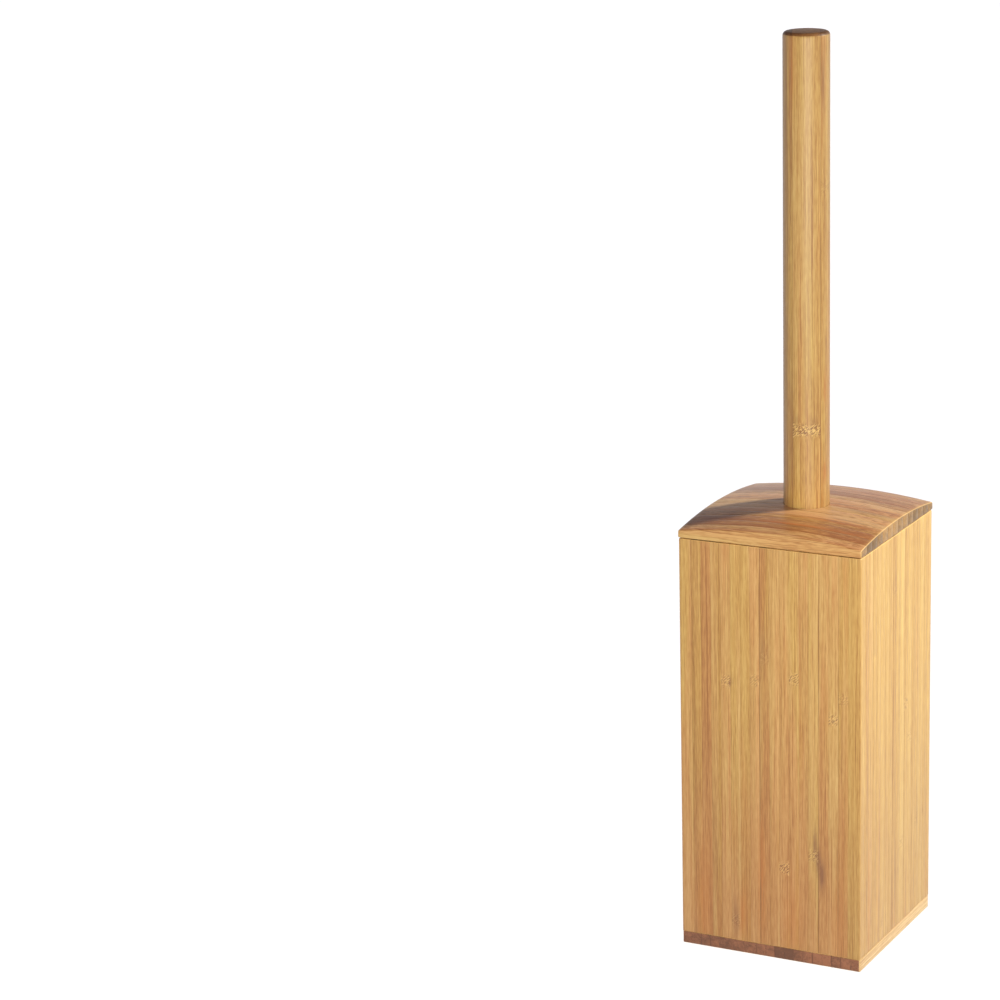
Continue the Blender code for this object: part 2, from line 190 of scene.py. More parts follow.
# Stage
FLOOR_SIDES = 96
FLOOR_SHEEN = 0.1
KEY_DIRECTION = (0.688, 0.442, 0.574)
KEY_DISTANCE = 1.6
KEY_SIZE = 0.18
KEY_AIM = (0, 0, 0.2)
FILL_DIRECTION = (0.55, -1.0, 0.0)
FILL_DISTANCE = 0.8
FILL_SIZE = 0.5
FILL_AIM = (0, 0, 0.28)
# Heights on the surroundings, from 0 straight down to 1 straight up
GROUND_EDGE = 0.480
WALL_FOOT = 0.490
WALL_TOP = 0.57
CEILING_EDGE = 0.69
CAMERA_PLACE = (0.59765, -1.44167, 0.6387)
CAMERA_TURN = (1.3050, 0.0240, 0.4780)
CAMERA_LENS = 124.68
SENSOR_WIDTH = 36


# ---------------------------------------------------------------- mesh work


def quarter(steps):
    return np.linspace(0, math.pi / 2, steps + 1)


def loft(rings):
    """Points and faces of a closed skin over rings with the same number of points."""
    count, points = rings.shape[:2]
    around = list(range(points))
    pairs = list(zip(around, around[1:] + around[:1]))
    faces = []
    for ring in range(count - 1):
        a, b = ring * points, (ring + 1) * points
        faces += [(a + p, a + q, b + q, b + p) for p, q in pairs]
    faces.append(tuple(reversed(around)))
    faces.append(tuple(p + (count - 1) * points for p in around))
    return rings.reshape(-1, 3), faces


def shell_mesh(name, shells, sharp=35, weld=1e-6):
    """One mesh of several closed skins, with its edges kept sharp above an angle in degrees."""
    points, faces, start = [], [], 0
    for skin, skin_faces in shells:
        points.append(skin)
        faces += [tuple(p + start for p in face) for face in skin_faces]
        start += len(skin)
    mesh = bpy.data.meshes.new(name)
    mesh.from_pydata(np.concatenate(points).tolist(), [], faces)
    return finish_mesh(mesh, sharp, weld)


def finish_mesh(mesh, sharp, weld=1e-6):
    bm = bmesh.new()
    bm.from_mesh(mesh)
    bmesh.ops.remove_doubles(bm, verts=bm.verts, dist=weld)
    bmesh.ops.dissolve_degenerate(bm, edges=bm.edges, dist=weld)
    bmesh.ops.recalc_face_normals(bm, faces=bm.faces)
    bm.to_mesh(mesh)
    bm.free()
    mesh.shade_smooth()
    mesh.set_sharp_from_angle(angle=math.radians(sharp))
    return mesh


def soften(corners, closed=False, steps=4):
    """A turned profile from its corners (radius, height, rounding)."""
    count = len(corners)
    profile = []
    for i, (r, z, rounding) in enumerate(corners):
        here = np.array((r, z))
        if rounding == 0 or (not closed and i in (0, count - 1)):
            profile.append((r, z))
            continue
        sides = [np.array(corners[j][:2]) - here for j in (i - 1, (i + 1) % count)]
        lengths = [np.linalg.norm(side) for side in sides]
        first, last = (s / n * min(rounding, 0.49 * n) for s, n in zip(sides, lengths))
        for t in np.linspace(0, 1, steps + 1):
            place = here + first * (1 - t) ** 2 + last * t**2
            profile.append(tuple(place))
    return profile


def lathe(profile, steps, closed=False, shape=None):
    """Points and faces of a turned skin. shape changes the radius by (radius, height, angle)."""
    radius, height = np.array(profile).T
    angle = np.linspace(0, 2 * math.pi, steps, endpoint=False)
    across = np.repeat(radius[:, None], steps, axis=1)
    if shape:
        across = shape(across, height[:, None], angle[None, :])
    rings = np.stack(
        [across * np.cos(angle), across * np.sin(angle), np.repeat(height[:, None], steps, axis=1)],
        axis=2,
    )
    points, faces = loft(rings)
    faces = faces[:-2]
    if closed:
        last = (len(profile) - 1) * steps
        faces += [(last + p, last + (p + 1) % steps, (p + 1) % steps, p) for p in range(steps)]
    return points, faces


def cut_out(obj, shells, sharp=35):
    """Takes the shape of closed skins out of a piece."""
    tool = bpy.data.objects.new("tool", shell_mesh("tool", shells))
    bpy.context.scene.collection.objects.link(tool)
    boolean = obj.modifiers.new("Cut", "BOOLEAN")
    boolean.object = tool
    boolean.solver = "EXACT"
    bpy.context.view_layer.update()
    evaluated = obj.evaluated_get(bpy.context.evaluated_depsgraph_get())
    mesh = bpy.data.meshes.new_from_object(evaluated)
    mesh.name = obj.name
    obj.modifiers.clear()
    obj.data = finish_mesh(mesh, sharp)
    bpy.data.objects.remove(tool)


# ---------------------------------------------------------------- boards and dowels of strips


def stations(low, high, edge, step):
    """Places along a board, and how far its faces are drawn in there to round its ends."""
    turn = quarter(3)
    ends = list(zip(edge * (1 - np.cos(turn)), edge * (1 - np.sin(turn))))
    count = max(1, round((high - low - 2 * edge) / step))
    middle = np.linspace(low + edge, high - edge, count + 1)[1:-1]
    start = [(low + place, inset) for place, inset in ends]
    finish = [(high - place, inset) for place, inset in reversed(ends)]
    return start + [(place, 0.0) for place in middle] + finish


def half_section(left, right, ease_left, ease_right, cells):
    """Places across a strip from left to right, and how far each is drawn in at its corners."""
    turn = quarter(3)
    flat = np.linspace(left + ease_left, right - ease_right, cells + 1)[1:-1]
    across = (left + ease_left * (1 - np.cos(turn)), flat, right - ease_right * (1 - np.cos(turn[::-1])))
    drawn = (ease_left * (1 - np.sin(turn)), 0 * flat, ease_right * (1 - np.sin(turn[::-1])))
    return np.concatenate(across), np.concatenate(drawn)


class Boards:
    """How a piece is glued up: its axes, the cuts between its strips, and how each strip looks.

    axes are the directions across the strips, through the board and along the grain. knots are
    (strip, place along, strength), stains (across, along, half width, half length, strength), with
    a strength below 0 for a reddish one, and seams (cut, strength). hues are how red the strips
    may be, least and most.
    """

    def __init__(self, axes, cuts, tones, seed, knots=(), stains=(), seams=(), hues=(0, 1)):
        self.axes = np.array(axes, float)
        self.cuts = np.array(cuts, float)
        self.tones = np.array(tones, float)
        self.knots = knots
        self.stains = stains
        self.seams = seams
        self.hues = hues
        self.random = np.random.default_rng(seed)

    def skins(self, depth, along, edge, sides=None, faces=(1, 1), step=3 * MM, cells=3, crown=None):
        """Closed skins of the strips, with edge the rounding of the board's ends.

        sides are the roundings of its outer corners, under and over, and faces the shares of edge
        that the ends have under and over. crown gives the top's height at places across and along.
        """
        sides = (edge, edge) if sides is None else sides
        shells = []
        last = len(self.cuts) - 2
        for strip, (left, right) in enumerate(zip(self.cuts, self.cuts[1:])):
            rings = []
            for place, inset in stations(*along, edge, step):
                start = left + (min(inset, max(sides)) if strip == 0 else GLUE_LINE)
                end = right - (min(inset, max(sides)) if strip == last else GLUE_LINE)
                halves = []
                for side in sides:
                    ease_start = side if strip == 0 else SEAM_EASE
                    ease_end = side if strip == last else SEAM_EASE
                    halves.append(half_section(start, end, ease_start, ease_end, cells))
                (low_across, low_drawn), (across, drawn) = halves
                top = crown(across, place) if crown else depth[1]
                level = np.full_like(across, place)
                under = np.column_stack([low_across, depth[0] + inset * faces[0] + low_drawn, level])
                over = np.column_stack([across, top - inset * faces[1] - drawn, level])
                rings.append(np.concatenate([under, over[::-1]]) @ self.axes)
            shells.append(loft(np.array(rings)))
        return shells

    def dowel_skins(self, profile, arc_steps):
        """Closed skins of the planks of a turned dowel."""
        shells = []
        for left, right in zip(self.cuts, self.cuts[1:]):
            rings = []
            for radius, height in profile:
                start = max(left + GLUE_LINE, -radius)
                end = min(right - GLUE_LINE, radius)
                turn = np.linspace(math.acos(end / radius), math.acos(start / radius), arc_steps + 1)
                level = np.full_like(turn, height)
                near = np.column_stack([radius * np.cos(turn), radius * np.sin(turn), level])
                far = np.column_stack([radius * np.cos(turn), -radius * np.sin(turn), level])
                rings.append(np.concatenate([near, far[::-1]]) @ self.axes)
            shells.append(loft(np.array(rings)))
        return shells

    def paint(self, mesh):
        """Gives a mesh the attributes that the bamboo finish reads."""
        points = np.zeros(len(mesh.vertices) * 3, np.float32)
        mesh.vertices.foreach_get("co", points)
        local = points.reshape(-1, 3).astype(float) @ self.axes.T
        across, along = local[:, 0], local[:, 2]
        count = len(self.cuts) - 1
        strip = np.clip(np.searchsorted(self.cuts, across) - 1, 0, count - 1)
        shift = self.random.random((count, 3)) * (2.0, 2.0, 3.0)
        hue = self.hues[0] + (self.hues[1] - self.hues[0]) * self.random.random(count)
        knot_place = np.full(count, 10.0)
        knot_strength = np.zeros(count)
        for number, place, strength in self.knots:
            knot_place[number] = place
            knot_strength[number] = strength
        # stains, which on the handle include a painted shade down one side of the dowel
        stain = np.zeros(len(local))
        for centre, place, half_width, half_length, strength in self.stains:
            spread = ((across - centre) / half_width) ** 2 + ((along - place) / half_length) ** 2
            stain += strength * np.exp(-spread)
        seam = 0.08 + 0.22 * self.random.random(count + 1)
        for number, strength in self.seams:
            seam[number] = strength
        seam[0] = seam[-1] = 0
        from_left = across - self.cuts[strip]
        from_right = self.cuts[strip + 1] - across
        fields = {
            "grain": local + shift[strip],
            "strip": (from_left, from_right, self.tones[strip]),
            "seam": (seam[strip], seam[strip + 1], hue[strip]),
            "knot": (along - knot_place[strip], knot_strength[strip], stain),
        }
        for name, values in fields.items():
            values = values if name == "grain" else np.column_stack(values)
            attribute = mesh.attributes.new(name, "FLOAT_VECTOR", "POINT")
            attribute.data.foreach_set("vector", values.astype(np.float32).ravel())


# ---------------------------------------------------------------- finishes


class Wire:
    """A node's output that can be used in sums, which add Math nodes."""

    def __init__(self, nodes, socket):
        self.nodes = nodes
        self.socket = socket

    def __add__(self, other):
        return self.nodes.math("ADD", self, other)

    def __radd__(self, other):
        return self.nodes.math("ADD", other, self)

    def __sub__(self, other):
        return self.nodes.math("SUBTRACT", self, other)

    def __rsub__(self, other):
        return self.nodes.math("SUBTRACT", other, self)

    def __mul__(self, other):
        return self.nodes.math("MULTIPLY", self, other)

    def __rmul__(self, other):
        return self.nodes.math("MULTIPLY", other, self)

    def __abs__(self):
        return self.nodes.math("ABSOLUTE", self)


class Nodes:
    """A node tree, and short ways to add nodes to it."""

    def __init__(self, tree):
        self.tree = tree

    def node(self, kind, settings=None, inputs=None, output=0):
        node = self.tree.nodes.new(kind)
        for key, value in (settings or {}).items():
            if key == "stops":
                self.set_stops(node.color_ramp, value)
            else:
                setattr(node, key, value)
        for key, value in (inputs or {}).items():
            self.feed(node.inputs[key], value)
        return Wire(self, node.outputs[output])

    def feed(self, socket, value):
        if isinstance(value, Wire):
            self.tree.links.new(value.socket, socket)
        else:
            socket.default_value = value

    def set_stops(self, ramp, stops):
        while len(ramp.elements) < len(stops):
            ramp.elements.new(0.5)
        for element, (place, colour) in zip(ramp.elements, stops):
            element.position = place
            element.color = (*colour, 1.0)

    def math(self, operation, *values):
        return self.node("ShaderNodeMath", {"operation": operation}, dict(enumerate(values)))

    def vector_math(self, operation, *values, output=0):
        settings = {"operation": operation}
        return self.node("ShaderNodeVectorMath", settings, dict(enumerate(values)), output)

    def attribute(self, name):
        return self.node("ShaderNodeAttribute", {"attribute_name": name}, output="Vector")

    def split(self, vector):
        node = self.node("ShaderNodeSeparateXYZ", inputs={0: vector}).socket.node
        return [Wire(self, socket) for socket in node.outputs]

    def noise(self, vector, scale, detail=2.0, roughness=0.5, output="Fac"):
        stretched = self.vector_math("MULTIPLY", vector, scale)
        inputs = {"Vector": stretched, "Scale": 1.0, "Detail": detail, "Roughness": roughness}
        return self.node("ShaderNodeTexNoise", inputs=inputs, output=output)

    def fade(self, value, low, high):
        """0 at low and 1 at high, with a smooth step between them."""
        inputs = {"Value": value, "From Min": low, "From Max": high}
        return self.node("ShaderNodeMapRange", {"interpolation_type": "SMOOTHSTEP"}, inputs)

    def ramp(self, value, stops):
        return self.node("ShaderNodeValToRGB", {"stops": stops}, {0: value})

    def mix(self, factor, first, second, blend="MIX"):
        settings = {"data_type": "RGBA", "blend_type": blend}
        first, second = (c if isinstance(c, Wire) else (*c, 1.0) for c in (first, second))
        return self.node("ShaderNodeMix", settings, {0: factor, 6: first, 7: second}, 2)

    def bump(self, height, strength, distance):
        inputs = {"Height": height, "Strength": strength, "Distance": distance}
        return self.node("ShaderNodeBump", inputs=inputs)

    def place(self):
        return self.node("ShaderNodeNewGeometry", output="Position")


class Finish(Nodes):
    """A material with its Principled shader, and the nodes that feed it."""

    def __init__(self, name, **constants):
        self.material = bpy.data.materials.new(name)
        self.material.use_nodes = True
        super().__init__(self.material.node_tree)
        self.shader = self.tree.nodes["Principled BSDF"]
        for socket, value in constants.items():
            self.shader.inputs[socket.replace("_", " ")].default_value = value

    def colour(self, value):
        self.feed(self.shader.inputs["Base Color"], value)

    def roughness(self, value):
        self.feed(self.shader.inputs["Roughness"], value)

    def relief(self, height, strength, distance):
        self.feed(self.shader.inputs["Normal"], self.bump(height, strength, distance))


def shade(colour, factor):
    return tuple(min(1.0, channel * factor) for channel in colour)


def tinted(colour, tint):
    return tuple(channel * share for channel, share in zip(colour, tint))


def bamboo_finish(
    name, along, tint=(1, 1, 1), ends=(1, 1, 1), crown=(1, 1, 1), stripes=0.4, contrast=1.0, highlight=1.0,
    end_from=0.72, foot=0.0, roughness=0.0,
):
    """Strips of bamboo with fibres, streaks, glue lines and knuckles, and end grain across along.

    tint colours the wood, ends the end grain and crown what faces up. stripes is how much the
    strips differ, contrast the strength of the figure, the setting after it the paleness of a painted
    highlight on the rounded edges, end_from the slope from which end grain shows, and foot how much
    painted shade makes the wood redder and darker near the floor.
    """
    look = bpy.context.scene.bamboo_look
    pale, mid, dark = (tinted(colour, tint) for colour in (look.pale, look.mid, look.dark))
    finish = Finish(name, Coat_Weight=look.lacquer, Coat_Roughness=0.3)
    from_left, from_right, tone = finish.split(finish.attribute("strip"))
    seam_left, seam_right, hue = finish.split(finish.attribute("seam"))
    away, knuckle, stain = finish.split(finish.attribute("knot"))

    # the fibres swirl beside a knuckle
    straight = finish.attribute("grain")
    near = finish.fade(abs(away), 7 * MM, 0.5 * MM) * abs(knuckle)
    swirl = finish.noise(straight, SWIRLS, 1.0, output="Color")
    swirl = finish.vector_math("SUBTRACT", swirl, (0.5, 0.5, 0.5))
    swirl_inputs = {0: swirl, "Scale": near * (2 * MM)}
    swirl = finish.node("ShaderNodeVectorMath", {"operation": "SCALE"}, swirl_inputs)
    grain = finish.vector_math("ADD", straight, swirl)

    broad = finish.noise(grain, BROAD, 2.0)
    fibre = finish.noise(grain, FIBRES, 2.0, 0.6)
    hair = finish.noise(grain, HAIRS, 2.0, 0.6)
    dash = finish.noise(grain, DASHES, 1.0)
    dark_line = finish.fade(finish.noise(grain, DARK_LINES, 1.0), 0.60, 0.70)
    pale_line = finish.fade(finish.noise(grain, PALE_LINES, 1.0), 0.40, 0.28)

    level = 0.5 + (tone - 0.5) * stripes + (broad - 0.5) * (0.6 * contrast)
    level = level + (fibre - 0.5) * (0.8 * contrast) + (hair - 0.5) * (1.1 * contrast)
    level = level + (dash - 0.5) * (0.6 * contrast)
    level = level - dark_line * (0.32 * contrast) + pale_line * (0.24 * contrast)
    colour = finish.ramp(level, [(0.0, dark), (0.5, mid), (1.0, pale)])

    reddish = finish.noise(grain, RED_PATCHES, 2.0) + (hue - 0.5) * 0.25
    # painted shade: the wood is painted redder and darker towards the floor
    if foot:
        _, _, height = finish.split(finish.place())
        painted_floor_shade = finish.fade(height, FLOOR_SHADE_HEIGHT, 0.0)
        reddish = reddish + painted_floor_shade * foot
    reddish = finish.fade(reddish, 0.46, 0.64)
    colour = finish.mix(reddish * 0.6, colour, finish.mix(1.0, colour, look.red, "MULTIPLY"))
    golden = finish.fade(finish.noise(grain, GOLD_PATCHES, 2.0) - (hue - 0.5) * 0.2, 0.50, 0.66)
    colour = finish.mix(golden * 0.6, colour, finish.mix(1.0, colour, look.gold, "MULTIPLY"))
    # painted shade near the floor: a darker tint low down
    if foot:
        colour = finish.mix(painted_floor_shade, colour, finish.mix(1.0, colour, look.foot, "MULTIPLY"))

    # knuckles: a row of slanted dashes, a small dark scar in the middle and stained fibres above
    across_grain, _, along_grain = finish.split(straight)
    slant_inputs = {"X": across_grain + along_grain, "Y": across_grain - along_grain}
    slant = finish.node("ShaderNodeCombineXYZ", inputs=slant_inputs)
    dashes = finish.noise(slant, KNUCKLE_DASHES, 1.0)
    ragged = abs(away) + (fibre - 0.5) * (7 * MM)
    row = finish.fade(ragged, 3.6 * MM, 1.2 * MM) * abs(knuckle)
    scar_centre = abs(from_left - from_right) + abs(away) * 0.6
    scar = finish.fade(scar_centre, 2.4 * MM, 0.4 * MM) * knuckle
    tail = finish.fade(away, 18 * MM, 0) * finish.fade(away, -3 * MM, 0) * knuckle
    tail = tail * finish.fade(hair, 0.40, 0.62) * 0.6
    freckles = row * abs(knuckle) * finish.fade(dashes, 0.51, 0.60)
    streaky = finish.fade(fibre * 0.5 + hair * 0.5, 0.30, 0.54)
    # stained fibres, and on the handle a painted shade down the side away from the key light
    stain_and_shade = finish.math("MAXIMUM", stain, 0) * streaky
    spoiled = finish.math("MAXIMUM", scar * 0.5 + tail, freckles + stain_and_shade)
    colour = finish.mix(finish.math("MINIMUM", spoiled, 0.85), colour, tinted(look.stain, tint))
    glints = row * abs(knuckle) * finish.fade(dashes, 0.49, 0.40)
    colour = finish.mix(glints, colour, shade(pale, 1.1))
    ruddy = finish.math("MAXIMUM", 0 - stain, 0) * streaky
    colour = finish.mix(finish.math("MINIMUM", ruddy, 0.85), colour, tinted(look.ruddy, tint))

    glue_fade = finish.fade(finish.noise(straight, GLUE_PATCHES, 1.0), 0.30, 0.62)
    glue = seam_left * finish.fade(from_left, GLUE_WIDTH, 0.05 * MM)
    glue = (glue + seam_right * finish.fade(from_right, GLUE_WIDTH, 0.05 * MM)) * glue_fade
    colour = finish.mix(glue * 0.9, colour, shade(dark, 0.7))

    # what faces up is multiplied by the crown tint
    normal = finish.node("ShaderNodeNewGeometry", output="Normal")
    if crown != (1, 1, 1):
        upward = finish.vector_math("DOT_PRODUCT", normal, UP, output="Value")
        deeper = finish.mix(1.0, colour, crown, "MULTIPLY")
        colour = finish.mix(finish.fade(upward, 0.55, 0.85), colour, deeper)

    # end grain, and a painted highlight: a pale strip on the rounded edges where the long faces meet it
    facing = abs(finish.vector_math("DOT_PRODUCT", normal, along, output="Value"))
    end = finish.fade(facing, end_from, end_from + 0.14)
    bundle_inputs = {"Vector": finish.vector_math("MULTIPLY", straight, BUNDLES), "Scale": 1.0}
    bundles = finish.node("ShaderNodeTexVoronoi", inputs=bundle_inputs, output="Distance")
    dots = finish.fade(bundles, 0.45, 0.20)
    cloud = finish.noise(straight, END_CLOUDS, 3.0, 0.6)
    end_level = 0.5 + (tone - 0.5) * 1.1 + (cloud - 0.5) * 1.8 - dots * 0.4
    end_stops = [(0.0, tinted(shade(mid, 0.50), ends)), (1.0, tinted(shade(mid, 1.2), ends))]
    end_colour = finish.ramp(end_level, end_stops)
    end_glue = finish.math("MINIMUM", glue * 1.6, 0.9)
    end_colour = finish.mix(end_glue, end_colour, tinted(shade(dark, 0.6), ends))
    colour = finish.mix(end, colour, end_colour)
    # painted highlight: the rounded edges between the long faces and the end grain are painted paler
    highlit = finish.fade(facing, 0.15, 0.45) * finish.fade(facing, 0.90, 0.75)
    colour = finish.mix(highlit * (look.edge_highlight * highlight), colour, shade(pale, 1.2))
    finish.colour(colour)

    finish.roughness(look.roughness + roughness + (hair - 0.5) * 0.25 + end * 0.1)
    height = (fibre * 0.6 + hair) * (1 - end) + end * cloud - glue * 0.8 + row * dashes * 0.6
    finish.relief(height, look.relief, 0.12 * MM)
    return finish.material


def moulded_finish(name, colour, roughness, cloudiness=0.015, **constants):
    """Moulded plastic: a faint cloudiness, and a fine texture from the tool."""
    finish = Finish(name, **constants)
    place = finish.place()
    cloud = finish.noise(place, (60, 60, 45), 2.0)
    grain = finish.noise(place, (2600, 2600, 2600), 2.0)
    deep = shade(colour, 1 - 3 * cloudiness)
    finish.colour(finish.mix(finish.fade(cloud, 0.35, 0.65), deep, colour))
    finish.roughness(roughness + (grain - 0.5) * 0.18 + (cloud - 0.5) * 0.10)
    finish.relief(grain, 0.15, 0.05 * MM)
    return finish.material


def nylon_finish(name, colour):
    """Filaments: greyer at the root, clear white at the tip, each a little different."""
    finish = Finish(name, Specular_IOR_Level=0.45, Subsurface_Weight=0.0)
    tip, own, _ = finish.split(finish.attribute("filament"))
    level = tip * 0.75 + own * 0.25
    stops = [(0.0, shade(colour, 0.62)), (0.55, shade(colour, 0.92)), (1.0, colour)]
    finish.colour(finish.ramp(level, stops))
    finish.roughness(0.42 + own * 0.16)
    return finish.material


def rubber_finish(name, colour):
    """Soft pads: a dusty surface with small pits."""
    finish = Finish(name, Specular_IOR_Level=0.3)
    place = finish.place()
    pits = finish.noise(place, (1800, 1800, 1800), 3.0)
    dust = finish.noise(place, (240, 240, 240), 2.0)
    finish.colour(finish.ramp(pits * 0.6 + dust * 0.4, [(0.35, shade(colour, 0.75)), (0.65, colour)]))
    finish.roughness(0.78 + (dust - 0.5) * 0.3)
    finish.relief(pits, 0.5, 0.12 * MM)
    return finish.material


def metal_finish(name, colour, roughness):
    """Turned metal: rings from the tool, and a patchy bright finish."""
    finish = Finish(name, Metallic=1.0)
    place = finish.place()
    rings = finish.noise(place, (300, 300, 9000), 2.0)
    patches = finish.noise(place, (500, 500, 500), 2.0)
    finish.colour(finish.ramp(patches, [(0.35, shade(colour, 0.78)), (0.65, colour)]))
    finish.roughness(roughness + (rings - 0.5) * 0.2 + (patches - 0.5) * 0.15)
    finish.relief(rings, 0.2, 0.03 * MM)
    return finish.material


# ---------------------------------------------------------------- pieces


def pieces():
    """The collection that the key light shines on."""
    found = bpy.data.collections.get("holder_pieces")
    if found is None:
        found = bpy.data.collections.new("holder_pieces")
        bpy.context.scene.collection.children.link(found)
    return found


def new_object(name, mesh):
    obj = bpy.data.objects.new(name, mesh)
    pieces().objects.link(obj)
    return obj


def join_frame(obj, material, body, nodes):
    obj.data.materials.clear()
    obj.data.materials.append(material)
    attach(obj, body)
    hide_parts(*nodes)


def strip_cuts(low, high, count):
    """Both ends of a board, and the cuts between its strips of equal width."""
    return np.linspace(low, high, count + 1)


def random_tones(count, seed):
    return np.random.default_rng(seed).random(count)


def placed_knots(knots, along_from):
    """Knots in metres from a list in millimetres."""
    return [(strip, along_from + along * MM, strength) for strip, along, strength in knots]


def placed_stains(stains, across_from, along_from):
    """Stains in metres from a list in millimetres."""
    placed = []
    for across, along, half_width, half_length, strength in stains:
        centre = (across_from + across * MM, along_from + along * MM)
        placed.append((*centre, half_width * MM, half_length * MM, strength))
    return placed


def build_panels():
    """Front and back panels between the full-depth side panels, all of upright strips."""
    look = bpy.context.scene.bamboo_look
    left_low, left_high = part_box("left_panel")
    right_low, right_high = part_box("right_panel")
    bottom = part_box("base_plate")[1].z + GLUE_JOINT
    along = (bottom, left_high.z)
    inner = (left_high.x + GLUE_JOINT, right_low.x - GLUE_JOINT)
    outer = (left_low.y, left_high.y)
    # the panels get painted shade, redder and darker near the floor
    material = bamboo_finish("upright_bamboo", UP, foot=0.22)
    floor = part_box("base_plate")[0].z
    boards = {
        "front": Boards(
            (RIGHT, BACK, UP),
            strip_cuts(*inner, look.front_strips),
            FRONT_TONES,
            seed=11,
            knots=placed_knots(FRONT_KNOTS, floor),
            stains=placed_stains(FRONT_STAINS, left_low.x, floor),
            seams=FRONT_SEAMS,
        ),
        "back": Boards(
            (RIGHT, BACK, UP),
            strip_cuts(*inner, look.front_strips),
            random_tones(look.front_strips, 21),
            seed=12,
            knots=placed_knots(BACK_KNOTS, floor),
            stains=placed_stains(BACK_STAINS, left_low.x, floor),
        ),
        "left": Boards(
            (BACK, RIGHT, UP),
            strip_cuts(*outer, look.side_strips),
            [LEFT_FRONT_TONE, *random_tones(look.side_strips - 1, 22)],
            seed=13,
            knots=placed_knots(LEFT_KNOTS, floor),
            stains=placed_stains(LEFT_STAINS, left_low.y, floor),
        ),
        "right": Boards(
            (BACK, RIGHT, UP),
            strip_cuts(*outer, look.side_strips),
            RIGHT_TONES,
            seed=14,
            knots=placed_knots(RIGHT_KNOTS, floor),
            stains=placed_stains(RIGHT_STAINS, left_low.y, floor),
            hues=RIGHT_HUES,
        ),
    }
    sharp = (SEAM_EASE, SEAM_EASE)
    shapes = {
        "front": ((outer[0], outer[0] + left_high.x - left_low.x), sharp),
        "back": ((outer[1] - left_high.x + left_low.x, outer[1]), sharp),
        "left": ((left_low.x, left_high.x), (PANEL_EDGE, SEAM_EASE)),
        "right": ((right_low.x, right_high.x), (SEAM_EASE, PANEL_EDGE)),
    }
    for place, board in boards.items():
        depth, sides = shapes[place]
        mesh = shell_mesh(f"{place}_panel_strips", board.skins(depth, along, PANEL_EDGE, sides))
        board.paint(mesh)
        obj = new_object(f"{place}_panel_strips", mesh)
        join_frame(obj, material, "holder", [f"{place}_panel"])


def build_base():
    """Base plate of strips that run from front to back, with a recess for each foot pad."""
    look = bpy.context.scene.bamboo_look
    low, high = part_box("base_plate")
    board = Boards(
        (RIGHT, UP, BACK),
        strip_cuts(low.x, high.x, look.base_strips),
        BASE_TONES,
        seed=15,
        seams=BASE_SEAMS,
    )
    sides = (PANEL_EDGE, SEAM_EASE)
    skins = board.skins((low.z, high.z), (low.y, high.y), BASE_EDGE, sides, (1, 0.05))
    mesh = shell_mesh("base_strips", skins)
    base = new_object("base_strips", mesh)
    recesses = []
    for row in ("front", "back"):
        for column in ("left", "right"):
            pad_low, pad_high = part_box(f"foot_pad_{row}_{column}")
            radius = (pad_high.x - pad_low.x) / 2 + PAD_FIT
            top = pad_high.z + BOLT_CLEARANCE
            points, faces = lathe([(0, -top), (radius, -top), (radius, top), (0, top)], 48)
            centre = (pad_low + pad_high) / 2
            recesses.append((points + (centre.x, centre.y, 0), faces))
    cut_out(base, recesses)
    board.paint(base.data)
    # The base's pale yellow-white tint is partly the wood's own paleness and partly painted light, standing
    # in for light the floor throws up onto the base.
    material = bamboo_finish(
        "base_bamboo", BACK, tint=(1.12, 1.27, 1.75), ends=(0.46, 0.295, 0.335), highlight=0.0
    )
    join_frame(base, material, "holder", ["base_plate"])


def build_feet():
    """Soft round pads with a rounded rim, glued into the recesses."""
    material = rubber_finish("pad_rubber", bpy.context.scene.fittings_look.pad_colour)
    for row in ("front", "back"):
        for column in ("left", "right"):
            node = f"foot_pad_{row}_{column}"
            low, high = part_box(node)
            centre = (low + high) / 2
            radius = (high.x - low.x) / 2
            corners = [
                (0, low.z, 0),
                (radius - 0.8 * MM, low.z, 0.3 * MM),
                (radius, low.z + 0.5 * MM, 0.4 * MM),
                (radius, high.z, 0.2 * MM),
                (0, high.z, 0),
            ]
            points, faces = lathe(soften(corners), 48)
            skin = (points + (centre.x, centre.y, 0), faces)
            pad = new_object(f"soft_{node}", shell_mesh(node, [skin]))
            join_frame(pad, material, "holder", [node])


def lid_crown():
    """The height of the domed top at places across and along, part of a sphere."""
    low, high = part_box("lid")
    corner = (high.x - low.x) / math.sqrt(2)
    drop = high.z - low.z - LID_CORNER_THICKNESS
    sphere = (corner**2 + drop**2) / (2 * drop)

    def crown(across, along):
        return high.z - sphere + np.sqrt(sphere**2 - across**2 - along**2)

    return crown


def bolt_hole():
    low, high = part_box("hanger_bolt")
    return (high.x - low.x) / 2 + BOLT_CLEARANCE


